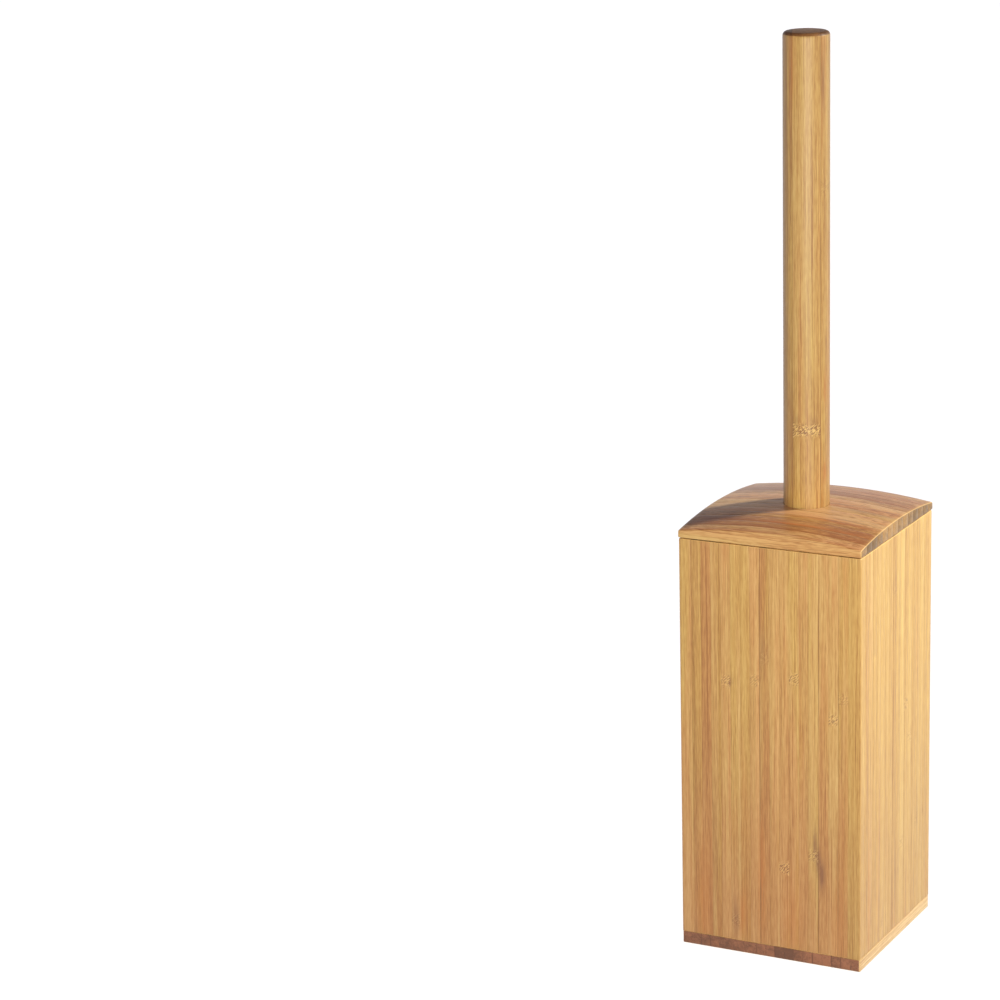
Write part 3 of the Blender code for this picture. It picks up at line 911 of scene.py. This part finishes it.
def build_lid():
    """Domed lid of strips from left to right, with the handle's socket and the board under it."""
    look = bpy.context.scene.bamboo_look
    low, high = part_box("lid")
    handle_low, handle_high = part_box("handle")
    board = Boards(
        (BACK, UP, RIGHT),
        strip_cuts(low.y, high.y, look.lid_strips),
        LID_TONES,
        seed=16,
        stains=placed_stains(LID_STAINS, 0, 0),
        seams=LID_SEAMS,
    )
    skins = board.skins(
        (low.z, high.z), (low.x, high.x), LID_EDGE, step=2 * MM, cells=5, crown=lid_crown()
    )
    lid = new_object("lid_strips", shell_mesh("lid_strips", skins))
    socket = (handle_high.x - handle_low.x) / 2 + SOCKET_FIT
    floor = high.z - SOCKET_DEPTH
    bolt = bolt_hole()
    profile = [
        (0, high.z + SOCKET_DEPTH),
        (socket, high.z + SOCKET_DEPTH),
        (socket, floor),
        (bolt, floor),
        (bolt, low.z - SOCKET_DEPTH),
        (0, low.z - SOCKET_DEPTH),
    ]
    cut_out(lid, [lathe(profile, 72)])
    board.paint(lid.data)
    material = bamboo_finish(
        "lid_bamboo",
        RIGHT,
        tint=(0.94, 0.92, 0.89),
        ends=(0.60, 0.59, 0.63),
        crown=(0.97, 0.85, 1.0),
        stripes=1.1,
        contrast=2.1,
        roughness=-0.10,
    )
    join_frame(lid, material, "brush", ["lid"])
    build_locator(look, bolt)


def build_locator(look, bolt):
    low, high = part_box("lid_locator")
    board = Boards(
        (RIGHT, UP, BACK),
        strip_cuts(low.x, high.x, look.locator_strips),
        random_tones(look.locator_strips, 24),
        seed=17,
    )
    skins = board.skins((low.z, high.z), (low.y, high.y), LOCATOR_EDGE)
    locator = new_object("locator_strips", shell_mesh("locator_strips", skins))
    above, below = high.z + SOCKET_DEPTH, low.z - SOCKET_DEPTH
    cut_out(locator, [lathe([(0, above), (bolt, above), (bolt, below), (0, below)], 48)])
    board.paint(locator.data)
    material = bamboo_finish("locator_bamboo", BACK)
    join_frame(locator, material, "brush", ["lid_locator"])


def build_handle():
    """Dowel turned from three planks, with a rounded top and a hole for the bolt in its foot."""
    low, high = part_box("handle")
    radius = (high.x - low.x) / 2
    turn = quarter(5)
    foot = [
        (radius - HANDLE_FOOT_EDGE * (1 - math.sin(a)), low.z + HANDLE_FOOT_EDGE * (1 - math.cos(a)))
        for a in quarter(2)
    ]
    top = [
        (radius - HANDLE_TOP_EDGE * (1 - math.sin(a)), high.z - HANDLE_TOP_EDGE * (1 - math.cos(a)))
        for a in reversed(turn)
    ]
    count = round((high.z - low.z) / (1.5 * MM))
    shaft = np.linspace(low.z + HANDLE_FOOT_EDGE, high.z - HANDLE_TOP_EDGE, count)[1:-1]
    profile = foot + [(radius, height) for height in shaft] + top
    across = (math.cos(PLANK_TURN), math.sin(PLANK_TURN), 0)
    through = (-math.sin(PLANK_TURN), math.cos(PLANK_TURN), 0)
    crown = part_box("lid")[1].z
    board = Boards(
        (across, through, UP),
        [-radius, -PLANK_CUT, PLANK_CUT, radius],
        HANDLE_TONES,
        seed=18,
        knots=placed_knots(HANDLE_KNOTS, crown),
        stains=placed_stains(HANDLE_STAINS_AND_SHADE, 0, crown) + placed_stains(HANDLE_TOP_STAINS, 0, high.z),
        seams=HANDLE_SEAMS,
    )
    handle = new_object("handle_dowel", shell_mesh("handle_dowel", board.dowel_skins(profile, 16), 50))
    bolt = bolt_hole()
    end = low.z + BOLT_IN_HANDLE + BOLT_CLEARANCE
    start = low.z - SOCKET_DEPTH
    cut_out(handle, [lathe([(0, start), (bolt, start), (bolt, end), (0, end)], 48)], 50)
    board.paint(handle.data)
    material = bamboo_finish(
        "handle_bamboo",
        UP,
        tint=(0.90, 0.91, 0.85),
        ends=(0.56, 0.41, 0.38),
        contrast=1.2,
        highlight=0.0,
        end_from=0.3,
    )
    join_frame(handle, material, "brush", ["handle"])


def build_fasteners():
    """Hanger bolt with its thread, washer, and the knurled insert in the stem."""
    look = bpy.context.scene.fittings_look
    steel = metal_finish("zinc_plate", look.steel_colour, 0.32)
    brass = metal_finish("turned_brass", look.brass_colour, 0.28)

    def thread(radius, height, angle):
        turns = (height / THREAD_PITCH - angle / (2 * math.pi)) % 1
        groove = 1 - np.abs(2 * turns - 1)
        return radius - THREAD_DEPTH * groove * (radius > 2 * THREAD_DEPTH)

    low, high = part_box("hanger_bolt")
    radius = (high.x - low.x) / 2
    count = round((high.z - low.z) / (THREAD_PITCH / 6))
    shank = [(radius, z) for z in np.linspace(low.z, high.z, count)[1:-1]]
    point = radius - 0.8 * MM
    profile = [(0, low.z), (point, low.z), *shank, (point, high.z), (0, high.z)]
    bolt = new_object("threaded_bolt", shell_mesh("threaded_bolt", [lathe(profile, 28, shape=thread)], 60))
    join_frame(bolt, steel, "brush", ["hanger_bolt"])

    low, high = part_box("bolt_washer")
    inner = bolt_hole()
    outer = (high.x - low.x) / 2
    ease = 0.25 * MM
    ring = [(inner, high.z, ease), (outer, high.z, ease), (outer, low.z, ease), (inner, low.z, ease)]
    skin = lathe(soften(ring, True), 64, True)
    washer = new_object("eased_washer", shell_mesh("eased_washer", [skin]))
    join_frame(washer, steel, "brush", ["bolt_washer"])

    def knurl(radius, height, angle):
        ridge = np.abs(np.sin(KNURL_RIDGES * angle + 900 * height)) * KNURL_DEPTH
        return radius - ridge * (radius > inner + 0.6 * MM)

    low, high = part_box("stem_insert")
    outer = (high.x - low.x) / 2
    wall = np.linspace(high.z, low.z, 24)
    ring = [(inner, high.z), *((outer, z) for z in wall), (inner, low.z)]
    skin = lathe(ring, 108, True, knurl)
    insert = new_object("knurled_insert", shell_mesh("knurled_insert", [skin]))
    join_frame(insert, brass, "brush", ["stem_insert"])


def build_liner():
    """Tapered cup with a rolled rim and a ring foot."""
    low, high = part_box("liner_cup")
    rim = (high.x - low.x) / 2
    wall = 1.4 * MM
    floor = 1.6 * MM
    taper = 2.6 * MM
    rim_width = 1.4 * MM
    rim_height = 2 * MM
    foot_height = 1.5 * MM
    foot_width = 2 * MM
    top = rim - rim_width
    foot = top - taper
    under = low.z + foot_height
    corners = [
        (0, under + floor, 0),
        (foot - wall, under + floor, 2.5 * MM),
        (top - wall, high.z - 0.7 * MM, 0.3 * MM),
        (top - wall + 0.4 * MM, high.z, 0.5 * MM),
        (rim, high.z, 0.7 * MM),
        (rim, high.z - rim_height, 0.4 * MM),
        (top, high.z - rim_height, 0.3 * MM),
        (foot, under, 0.9 * MM),
        (foot - 0.3 * MM, low.z, 0.4 * MM),
        (foot - foot_width, low.z, 0.4 * MM),
        (foot - foot_width - 0.3 * MM, under, 0.4 * MM),
        (0, under, 0),
    ]
    look = bpy.context.scene.fittings_look
    cup = new_object("moulded_liner", shell_mesh("moulded_liner", [lathe(soften(corners), 128)]))
    material = moulded_finish("liner_plastic", look.liner_colour, 0.42, Specular_IOR_Level=0.5)
    join_frame(cup, material, "liner", ["liner_cup"])


def build_stem():
    """Stem with its flange and stub, and the head's core with its socket for the stub."""
    look = bpy.context.scene.fittings_look
    material = moulded_finish("brush_plastic", look.plastic_colour, 0.33, 0.01, Specular_IOR_Level=0.5)
    low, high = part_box("stem")
    core_low, core_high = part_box("brush_core")
    insert_low, insert_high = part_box("stem_insert")
    flange = (high.x - low.x) / 2
    bore = (insert_high.x - insert_low.x) / 2 + BOLT_CLEARANCE
    bore_end = insert_low.z - 1.3 * MM
    shank_top = 8 * MM
    shank_foot = 6.5 * MM
    stub = 4.5 * MM
    shoulder = core_high.z + BOLT_CLEARANCE
    corners = [
        (0, bore_end, 0),
        (bore, bore_end, 0),
        (bore, high.z, 0.3 * MM),
        (flange, high.z, 0.8 * MM),
        (flange, high.z - 3 * MM, 0.8 * MM),
        (shank_top + 1.2 * MM, high.z - 4 * MM, 2 * MM),
        (shank_top, high.z - 9 * MM, 4 * MM),
        (shank_foot, shoulder + 4 * MM, 2 * MM),
        (shank_foot, shoulder, 0.5 * MM),
        (stub, shoulder, 0.2 * MM),
        (stub, low.z, 0.8 * MM),
        (0, low.z, 0),
    ]

    def parting(radius, height, angle):
        line = np.exp(-((np.sin(angle) / 0.05) ** 2)) * 0.12 * MM
        outside = (radius > stub + 0.5 * MM) & (radius < flange - 0.5 * MM) & (height < insert_low.z)
        return radius + line * outside

    skin = lathe(soften(corners), 96, shape=parting)
    stem = new_object("moulded_stem", shell_mesh("moulded_stem", [skin]))
    join_frame(stem, material, "brush", ["stem"])

    outer = (core_high.x - core_low.x) / 2
    socket = stub + BOLT_CLEARANCE
    depth = core_high.z - (low.z - BOLT_CLEARANCE)
    corners = [
        (0, core_high.z - depth, 0),
        (socket, core_high.z - depth, 0),
        (socket, core_high.z, 0.4 * MM),
        (shank_foot, core_high.z, 0.5 * MM),
        (outer, core_high.z - 5 * MM, 2.5 * MM),
        (outer, core_low.z + 3 * MM, 9 * MM),
        (outer - 3 * MM, core_low.z, 8 * MM),
        (0, core_low.z, 0),
    ]
    core = new_object("moulded_core", shell_mesh("moulded_core", [lathe(soften(corners, steps=8), 96)]))
    join_frame(core, material, "brush", ["brush_core"])


def filaments(name, roots, tips, bow, radius, seed):
    """A mesh of tapered three-sided filaments from roots to tips, each with a slight bend."""
    random = np.random.default_rng(seed)
    count = len(roots)
    middle = (roots + tips) / 2 + bow * random.normal(size=(count, 3))
    t = np.array(FILAMENT_RINGS)[None, :, None]
    path = roots[:, None] * (1 - t) ** 2 + 2 * middle[:, None] * t * (1 - t) + tips[:, None] * t**2
    heading = tips - roots
    heading /= np.linalg.norm(heading, axis=1, keepdims=True)
    aside = np.cross(heading, random.normal(size=(count, 3)))
    aside /= np.linalg.norm(aside, axis=1, keepdims=True)
    other = np.cross(heading, aside)
    turn = np.radians((0, 120, 240))
    around = np.cos(turn)[None, :, None] * aside[:, None] + np.sin(turn)[None, :, None] * other[:, None]
    girth = radius * np.array(FILAMENT_GIRTHS)
    points = path[:, :, None] + around[:, None] * girth[None, :, None, None]
    side = [(0, 1, 4, 3), (1, 2, 5, 4), (2, 0, 3, 5)]
    cell = [tuple(p + 3 * level for p in face) for level in range(3) for face in side]
    cell += [(2, 1, 0), (9, 10, 11)]
    faces = [tuple(p + 12 * number for p in face) for number in range(count) for face in cell]
    mesh = bpy.data.meshes.new(name)
    mesh.from_pydata(points.reshape(-1, 3).tolist(), [], faces)
    finish_mesh(mesh, 80, 1e-8)
    along = np.tile(np.repeat(FILAMENT_RINGS, 3), count)
    own = np.repeat(random.random(count), 12)
    values = np.column_stack([along, own, 0 * own])
    attribute = mesh.attributes.new("filament", "FLOAT_VECTOR", "POINT")
    attribute.data.foreach_set("vector", values.astype(np.float32).ravel())
    return mesh


def disc_points(count, random):
    """Evenly scattered points in a disc of radius 1."""
    radius = np.sqrt((np.arange(count) + 0.5) / count)
    angle = np.arange(count) * math.pi * (3 - math.sqrt(5)) + random.random() * 6
    return np.column_stack([radius * np.cos(angle), radius * np.sin(angle)])


def build_bristles():
    """A ring of tufts for each row of the head, and the tufts under its nose."""
    look = bpy.context.scene.bristle_look
    material = nylon_finish("nylon", look.colour)
    core_low, core_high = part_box("brush_core")
    core = (core_high.x - core_low.x) / 2
    rows = [n for n in sorted(frame["nodes"]) if n.startswith("bristle_row_")]
    first = core_low.z + ROWS_ABOVE_NOSE
    last = core_high.z - ROWS_BELOW_TOP
    for number, node in enumerate(rows):
        low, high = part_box(node)
        root = first + (last - first) * number / (len(rows) - 1)
        reach = (high.x - low.x) / 2
        if root < (first + last) / 2:
            tip_middle = low.z + TUFT_REACH / 2
        else:
            tip_middle = high.z - TUFT_REACH / 2
        random = np.random.default_rng(40 + number)
        roots, tips = [], []
        for tuft in range(look.tufts):
            facing = 2 * math.pi * (tuft + number % 2 / 2) / look.tufts
            spread = disc_points(look.filaments, random)
            start = facing + spread[:, 0] * TUFT_ROOT / core
            end = facing + spread[:, 0] * (math.pi / look.tufts) * TUFT_OVERLAP
            end += random.normal(size=look.filaments) * 0.015
            length = reach * (0.985 - 0.03 * random.random(look.filaments))
            height = tip_middle + spread[:, 1] * TUFT_REACH / 2 * TUFT_OVERLAP
            height += random.normal(size=look.filaments) * 0.5 * MM
            inside = core - TUFT_DEPTH
            start_height = root + spread[:, 1] * TUFT_ROOT
            roots.append(np.column_stack([inside * np.cos(start), inside * np.sin(start), start_height]))
            tips.append(np.column_stack([length * np.cos(end), length * np.sin(end), height]))
        roots, tips = np.concatenate(roots), np.concatenate(tips)
        name = f"tufts_{number + 1}"
        mesh = filaments(name, roots, tips, 0.25 * MM, look.thickness / 2, 60 + number)
        join_frame(new_object(name, mesh), material, "brush", [node])
    build_end_tufts(look, material, core_low)


def build_end_tufts(look, material, core_low):
    low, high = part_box("bristle_end")
    reach = (high.x - low.x) / 2
    random = np.random.default_rng(90)
    roots, tips = [], []
    for ring, (root_radius, tip_radius, tufts) in enumerate(END_TUFT_RINGS):
        for tuft in range(tufts):
            facing = 2 * math.pi * (tuft + ring % 2 / 2) / tufts
            spread = disc_points(look.filaments, random)
            base = np.array((math.cos(facing), math.sin(facing)))
            start = root_radius * MM * base + spread * TUFT_ROOT
            end = tip_radius * MM * base + spread * 5.0 * MM
            radius = np.linalg.norm(end, axis=1)
            end *= np.minimum(1, (reach - 0.4 * MM) / np.maximum(radius, 1e-6))[:, None]
            radius = np.linalg.norm(end, axis=1)
            start_radius = np.linalg.norm(start, axis=1)
            curve = np.maximum(0, start_radius - NOSE_FLAT)
            start_height = core_low.z + curve**2 / (8 * MM) + TUFT_DEPTH
            edge = np.maximum(0, radius - (reach - 5 * MM))
            end_height = low.z + 0.1 * MM + edge * 0.9 + 0.8 * MM * random.random(look.filaments)
            roots.append(np.column_stack([start, start_height]))
            tips.append(np.column_stack([end, end_height]))
    roots, tips = np.concatenate(roots), np.concatenate(tips)
    mesh = filaments("tufts_end", roots, tips, 0.2 * MM, look.thickness / 2, 91)
    join_frame(new_object("tufts_end", mesh), material, "brush", ["bristle_end"])


# ---------------------------------------------------------------- stage


def area_light(name, look_at, direction, distance, size, power, colour):
    data = bpy.data.lights.new(name, "AREA")
    data.shape = "DISK"
    data.size = size
    data.energy = power
    data.color = colour
    light = bpy.data.objects.new(name, data)
    aim = Vector(direction).normalized()
    light.location = Vector(look_at) + aim * distance
    light.rotation_euler = aim.to_track_quat("Z", "Y").to_euler()
    bpy.context.scene.collection.objects.link(light)
    return light


def build_stage():
    """White floor, a key light from the back right, a soft fill, pale walls, and the camera."""
    look = bpy.context.scene.stage_look
    scene = bpy.context.scene
    scene.view_settings.view_transform = "Standard"

    bm = bmesh.new()
    bmesh.ops.create_circle(bm, cap_ends=True, segments=FLOOR_SIDES, radius=look.floor_radius)
    mesh = bpy.data.meshes.new("studio_floor")
    bm.to_mesh(mesh)
    bm.free()
    floor = bpy.data.objects.new("studio_floor", mesh)
    scene.collection.objects.link(floor)
    finish = Finish("studio_floor", Specular_IOR_Level=FLOOR_SHEEN)
    paper = finish.noise(finish.place(), (900, 900, 900), 2.0)
    finish.colour(finish.mix(paper, shade(look.floor_colour, 0.985), look.floor_colour))
    finish.roughness(0.8 + (paper - 0.5) * 0.1)
    mesh.materials.append(finish.material)
    floor.visible_diffuse = False

    handle = bpy.data.collections.new("handle_only")
    others = bpy.data.collections.new("all_but_handle")
    for piece in pieces().objects:
        (handle if piece.name.startswith("handle") else others).objects.link(piece)
    for name, receivers, share in (("key", others, 1.0), ("handle_key", handle, look.handle_share)):
        power = look.key_power * share
        key = area_light(name, KEY_AIM, KEY_DIRECTION, KEY_DISTANCE, KEY_SIZE, power, look.key_colour)
        key.light_linking.receiver_collection = receivers
    fill = area_light(
        "fill", FILL_AIM, FILL_DIRECTION, FILL_DISTANCE, FILL_SIZE, look.fill_power, look.fill_colour
    )
    fill.light_linking.receiver_collection = pieces()

    # a light for the floor alone, which casts no shadow of the pieces on it
    ground = bpy.data.collections.new("ground")
    ground.objects.link(floor)
    lamp = bpy.data.lights.new("floor_light", "SUN")
    lamp.energy = look.floor_light
    light = bpy.data.objects.new("floor_light", lamp)
    scene.collection.objects.link(light)
    light.light_linking.receiver_collection = ground
    light.light_linking.blocker_collection = ground

    # pale walls all round, with a dimmer ceiling above them and a dimmer floor below
    world = bpy.data.worlds.new("studio")
    world.use_nodes = True
    air = Nodes(world.node_tree)
    _, _, height = air.split(air.node("ShaderNodeTexCoord", output="Generated"))
    stops = [
        (GROUND_EDGE, look.ground_colour),
        (WALL_FOOT, look.wall_colour),
        (WALL_TOP, look.wall_colour),
        (CEILING_EDGE, look.ceiling_colour),
    ]
    air.feed(world.node_tree.nodes["Background"].inputs["Color"], air.ramp(height * 0.5 + 0.5, stops))
    scene.world = world

    data = bpy.data.cameras.new("camera")
    data.lens = CAMERA_LENS
    data.sensor_width = SENSOR_WIDTH
    camera = bpy.data.objects.new("camera", data)
    camera.location = CAMERA_PLACE
    camera.rotation_euler = CAMERA_TURN
    scene.collection.objects.link(camera)
    scene.camera = camera


# ---------------------------------------------------------------- settings


def colour_setting(name, description, default):
    return bpy.props.FloatVectorProperty(
        name=name, description=description, subtype="COLOR", size=3, min=0, max=1, default=default
    )


def share_setting(name, description, default):
    return bpy.props.FloatProperty(
        name=name, description=description, subtype="FACTOR", min=0, max=1, default=default
    )


def power_setting(name, description, default):
    return bpy.props.FloatProperty(
        name=name, description=description, unit="POWER", min=0, max=1000, default=default
    )


def count_setting(name, description, default):
    return bpy.props.IntProperty(name=name, description=description, min=2, max=120, default=default)


class BambooLook(bpy.types.PropertyGroup):
    pale: colour_setting("Pale", "Colour of the palest fibres", (0.78, 0.52, 0.20))
    mid: colour_setting("Middle", "Colour of most of the wood", (0.61, 0.345, 0.112))
    dark: colour_setting("Dark", "Colour of the darkest fibres", (0.40, 0.185, 0.055))
    red: colour_setting("Red", "Tint of the reddish fibres", (0.98, 0.82, 0.84))
    ruddy: colour_setting("Ruddy", "Colour of the reddish streaks", (0.56, 0.20, 0.05))
    stain: colour_setting("Stain", "Colour of the stained fibres", (0.25, 0.105, 0.05))
    # Tint of the painted shade near the floor
    foot: colour_setting("Foot", "Tint of the wood near the floor", (0.89, 0.87, 0.96))
    gold: colour_setting("Gold", "Tint of the golden fibres", (0.97, 1.0, 0.80))
    # The paleness of the rounded edges is a painted highlight
    edge_highlight: share_setting("Edge wear", "Paleness of the worn edges", 0.55)
    lacquer: share_setting("Lacquer", "Weight of the clear coat", 0.15)
    roughness: share_setting("Roughness", "How matt the wood is", 0.48)
    relief: share_setting("Relief", "Depth of the fibres' relief", 0.35)
    front_strips: count_setting("Front strips", "Strips in the front and back panels", len(FRONT_TONES))
    side_strips: count_setting("Side strips", "Strips in each side panel", len(RIGHT_TONES))
    base_strips: count_setting("Base strips", "Strips in the base plate", len(BASE_TONES))
    lid_strips: count_setting("Lid strips", "Strips in the lid", len(LID_TONES))
    locator_strips: count_setting("Locator strips", "Strips in the board under the lid", 15)


class BristleLook(bpy.types.PropertyGroup):
    tufts: count_setting("Tufts", "Tufts in each row", 26)
    filaments: count_setting("Filaments", "Filaments in each tuft", 56)
    thickness: bpy.props.FloatProperty(
        name="Thickness",
        description="Thickness of a filament",
        default=0.4 * MM,
        min=0.1 * MM,
        max=1 * MM,
        unit="LENGTH",
    )
    colour: colour_setting("Nylon", "Colour of the filaments", (0.76, 0.77, 0.76))


class FittingsLook(bpy.types.PropertyGroup):
    liner_colour: colour_setting("Liner", "Colour of the liner cup", (0.60, 0.61, 0.60))
    plastic_colour: colour_setting("Stem", "Colour of the stem and the core", (0.62, 0.62, 0.60))
    steel_colour: colour_setting("Steel", "Colour of the zinc plate", (0.62, 0.63, 0.65))
    brass_colour: colour_setting("Brass", "Colour of the brass insert", (0.72, 0.52, 0.20))
    pad_colour: colour_setting("Pads", "Colour of the foot pads", (0.55, 0.54, 0.50))


class StageLook(bpy.types.PropertyGroup):
    floor_radius: bpy.props.FloatProperty(
        name="Floor radius", description="Radius of the floor", default=200.0, min=1, max=500, unit="LENGTH"
    )
    floor_colour: colour_setting("Floor", "Colour of the floor", (0.90, 0.90, 0.90))
    floor_light: bpy.props.FloatProperty(
        name="Floor light", description="Strength of the light on the floor alone", default=3.3, min=0, max=20
    )
    key_power: power_setting("Key", "Power of the key light", 31)
    key_colour: colour_setting("Key colour", "Colour of the key light", (0.97, 1.0, 0.90))
    handle_share: share_setting("Key on handle", "Share of the key light on the handle", 0.45)
    fill_power: power_setting("Fill", "Power of the front fill", 5.1)
    fill_colour: colour_setting("Fill colour", "Colour of the front fill", (0.98, 0.92, 0.78))
    wall_colour: colour_setting("Walls", "Colour of the walls around the stage", (1.0, 1.0, 1.0))
    ceiling_colour: colour_setting("Ceiling", "Colour of the ceiling", (0.08, 0.07, 0.10))
    ground_colour: colour_setting("Ground", "Colour of the light from below", (0.24, 0.22, 0.22))


LOOKS = {
    "bamboo_look": BambooLook,
    "bristle_look": BristleLook,
    "fittings_look": FittingsLook,
    "stage_look": StageLook,
}


# ---------------------------------------------------------------- operators and panel


class PanelsOperator(bpy.types.Operator):
    """Builds the four upright panels of the box"""

    bl_idname = "brush_holder.panels"
    bl_label = "Panels"

    def execute(self, context):
        build_panels()
        return {"FINISHED"}


class BaseOperator(bpy.types.Operator):
    """Builds the base plate"""

    bl_idname = "brush_holder.base"
    bl_label = "Base plate"

    def execute(self, context):
        build_base()
        return {"FINISHED"}


class FeetOperator(bpy.types.Operator):
    """Builds the four foot pads"""

    bl_idname = "brush_holder.feet"
    bl_label = "Foot pads"

    def execute(self, context):
        build_feet()
        return {"FINISHED"}


class LinerOperator(bpy.types.Operator):
    """Builds the liner cup"""

    bl_idname = "brush_holder.liner"
    bl_label = "Liner cup"

    def execute(self, context):
        build_liner()
        return {"FINISHED"}


class LidOperator(bpy.types.Operator):
    """Builds the domed lid and the board under it"""

    bl_idname = "brush_holder.lid"
    bl_label = "Lid"

    def execute(self, context):
        build_lid()
        return {"FINISHED"}


class HandleOperator(bpy.types.Operator):
    """Builds the dowel handle"""

    bl_idname = "brush_holder.handle"
    bl_label = "Handle"

    def execute(self, context):
        build_handle()
        return {"FINISHED"}


class FastenersOperator(bpy.types.Operator):
    """Builds the bolt, the washer and the insert"""

    bl_idname = "brush_holder.fasteners"
    bl_label = "Fasteners"

    def execute(self, context):
        build_fasteners()
        return {"FINISHED"}


class StemOperator(bpy.types.Operator):
    """Builds the stem and the head's core"""

    bl_idname = "brush_holder.stem"
    bl_label = "Stem and core"

    def execute(self, context):
        build_stem()
        return {"FINISHED"}


class BristlesOperator(bpy.types.Operator):
    """Builds the rows of tufts"""

    bl_idname = "brush_holder.bristles"
    bl_label = "Bristles"

    def execute(self, context):
        build_bristles()
        return {"FINISHED"}


class StageOperator(bpy.types.Operator):
    """Builds the floor, the lights and the camera"""

    bl_idname = "brush_holder.stage"
    bl_label = "Stage"

    def execute(self, context):
        build_stage()
        return {"FINISHED"}


OPERATORS = (
    PanelsOperator,
    BaseOperator,
    FeetOperator,
    LinerOperator,
    LidOperator,
    HandleOperator,
    FastenersOperator,
    StemOperator,
    BristlesOperator,
    StageOperator,
)


class BrushHolderPanel(bpy.types.Panel):
    """Lists the settings and the pieces"""

    bl_idname = "VIEW3D_PT_brush_holder"
    bl_label = "Brush holder"
    bl_space_type = "VIEW_3D"
    bl_region_type = "UI"
    bl_category = "Brush holder"

    def draw(self, context):
        for name, group in LOOKS.items():
            box = self.layout.box()
            box.label(text=group.__name__)
            for setting in group.__annotations__:
                box.prop(getattr(context.scene, name), setting)
        for operator in OPERATORS:
            self.layout.operator(operator.bl_idname)


def register():
    for group in (*LOOKS.values(), *OPERATORS, BrushHolderPanel):
        bpy.utils.register_class(group)
    for name, group in LOOKS.items():
        setattr(bpy.types.Scene, name, bpy.props.PointerProperty(type=group))


def unregister():
    for name in LOOKS:
        delattr(bpy.types.Scene, name)
    for group in (BrushHolderPanel, *OPERATORS, *LOOKS.values()):
        bpy.utils.unregister_class(group)


def main():
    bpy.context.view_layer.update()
    register()
    for operator in OPERATORS:
        group, name = operator.bl_idname.split(".")
        getattr(getattr(bpy.ops, group), name)()


if __name__ == "__main__":
    main()
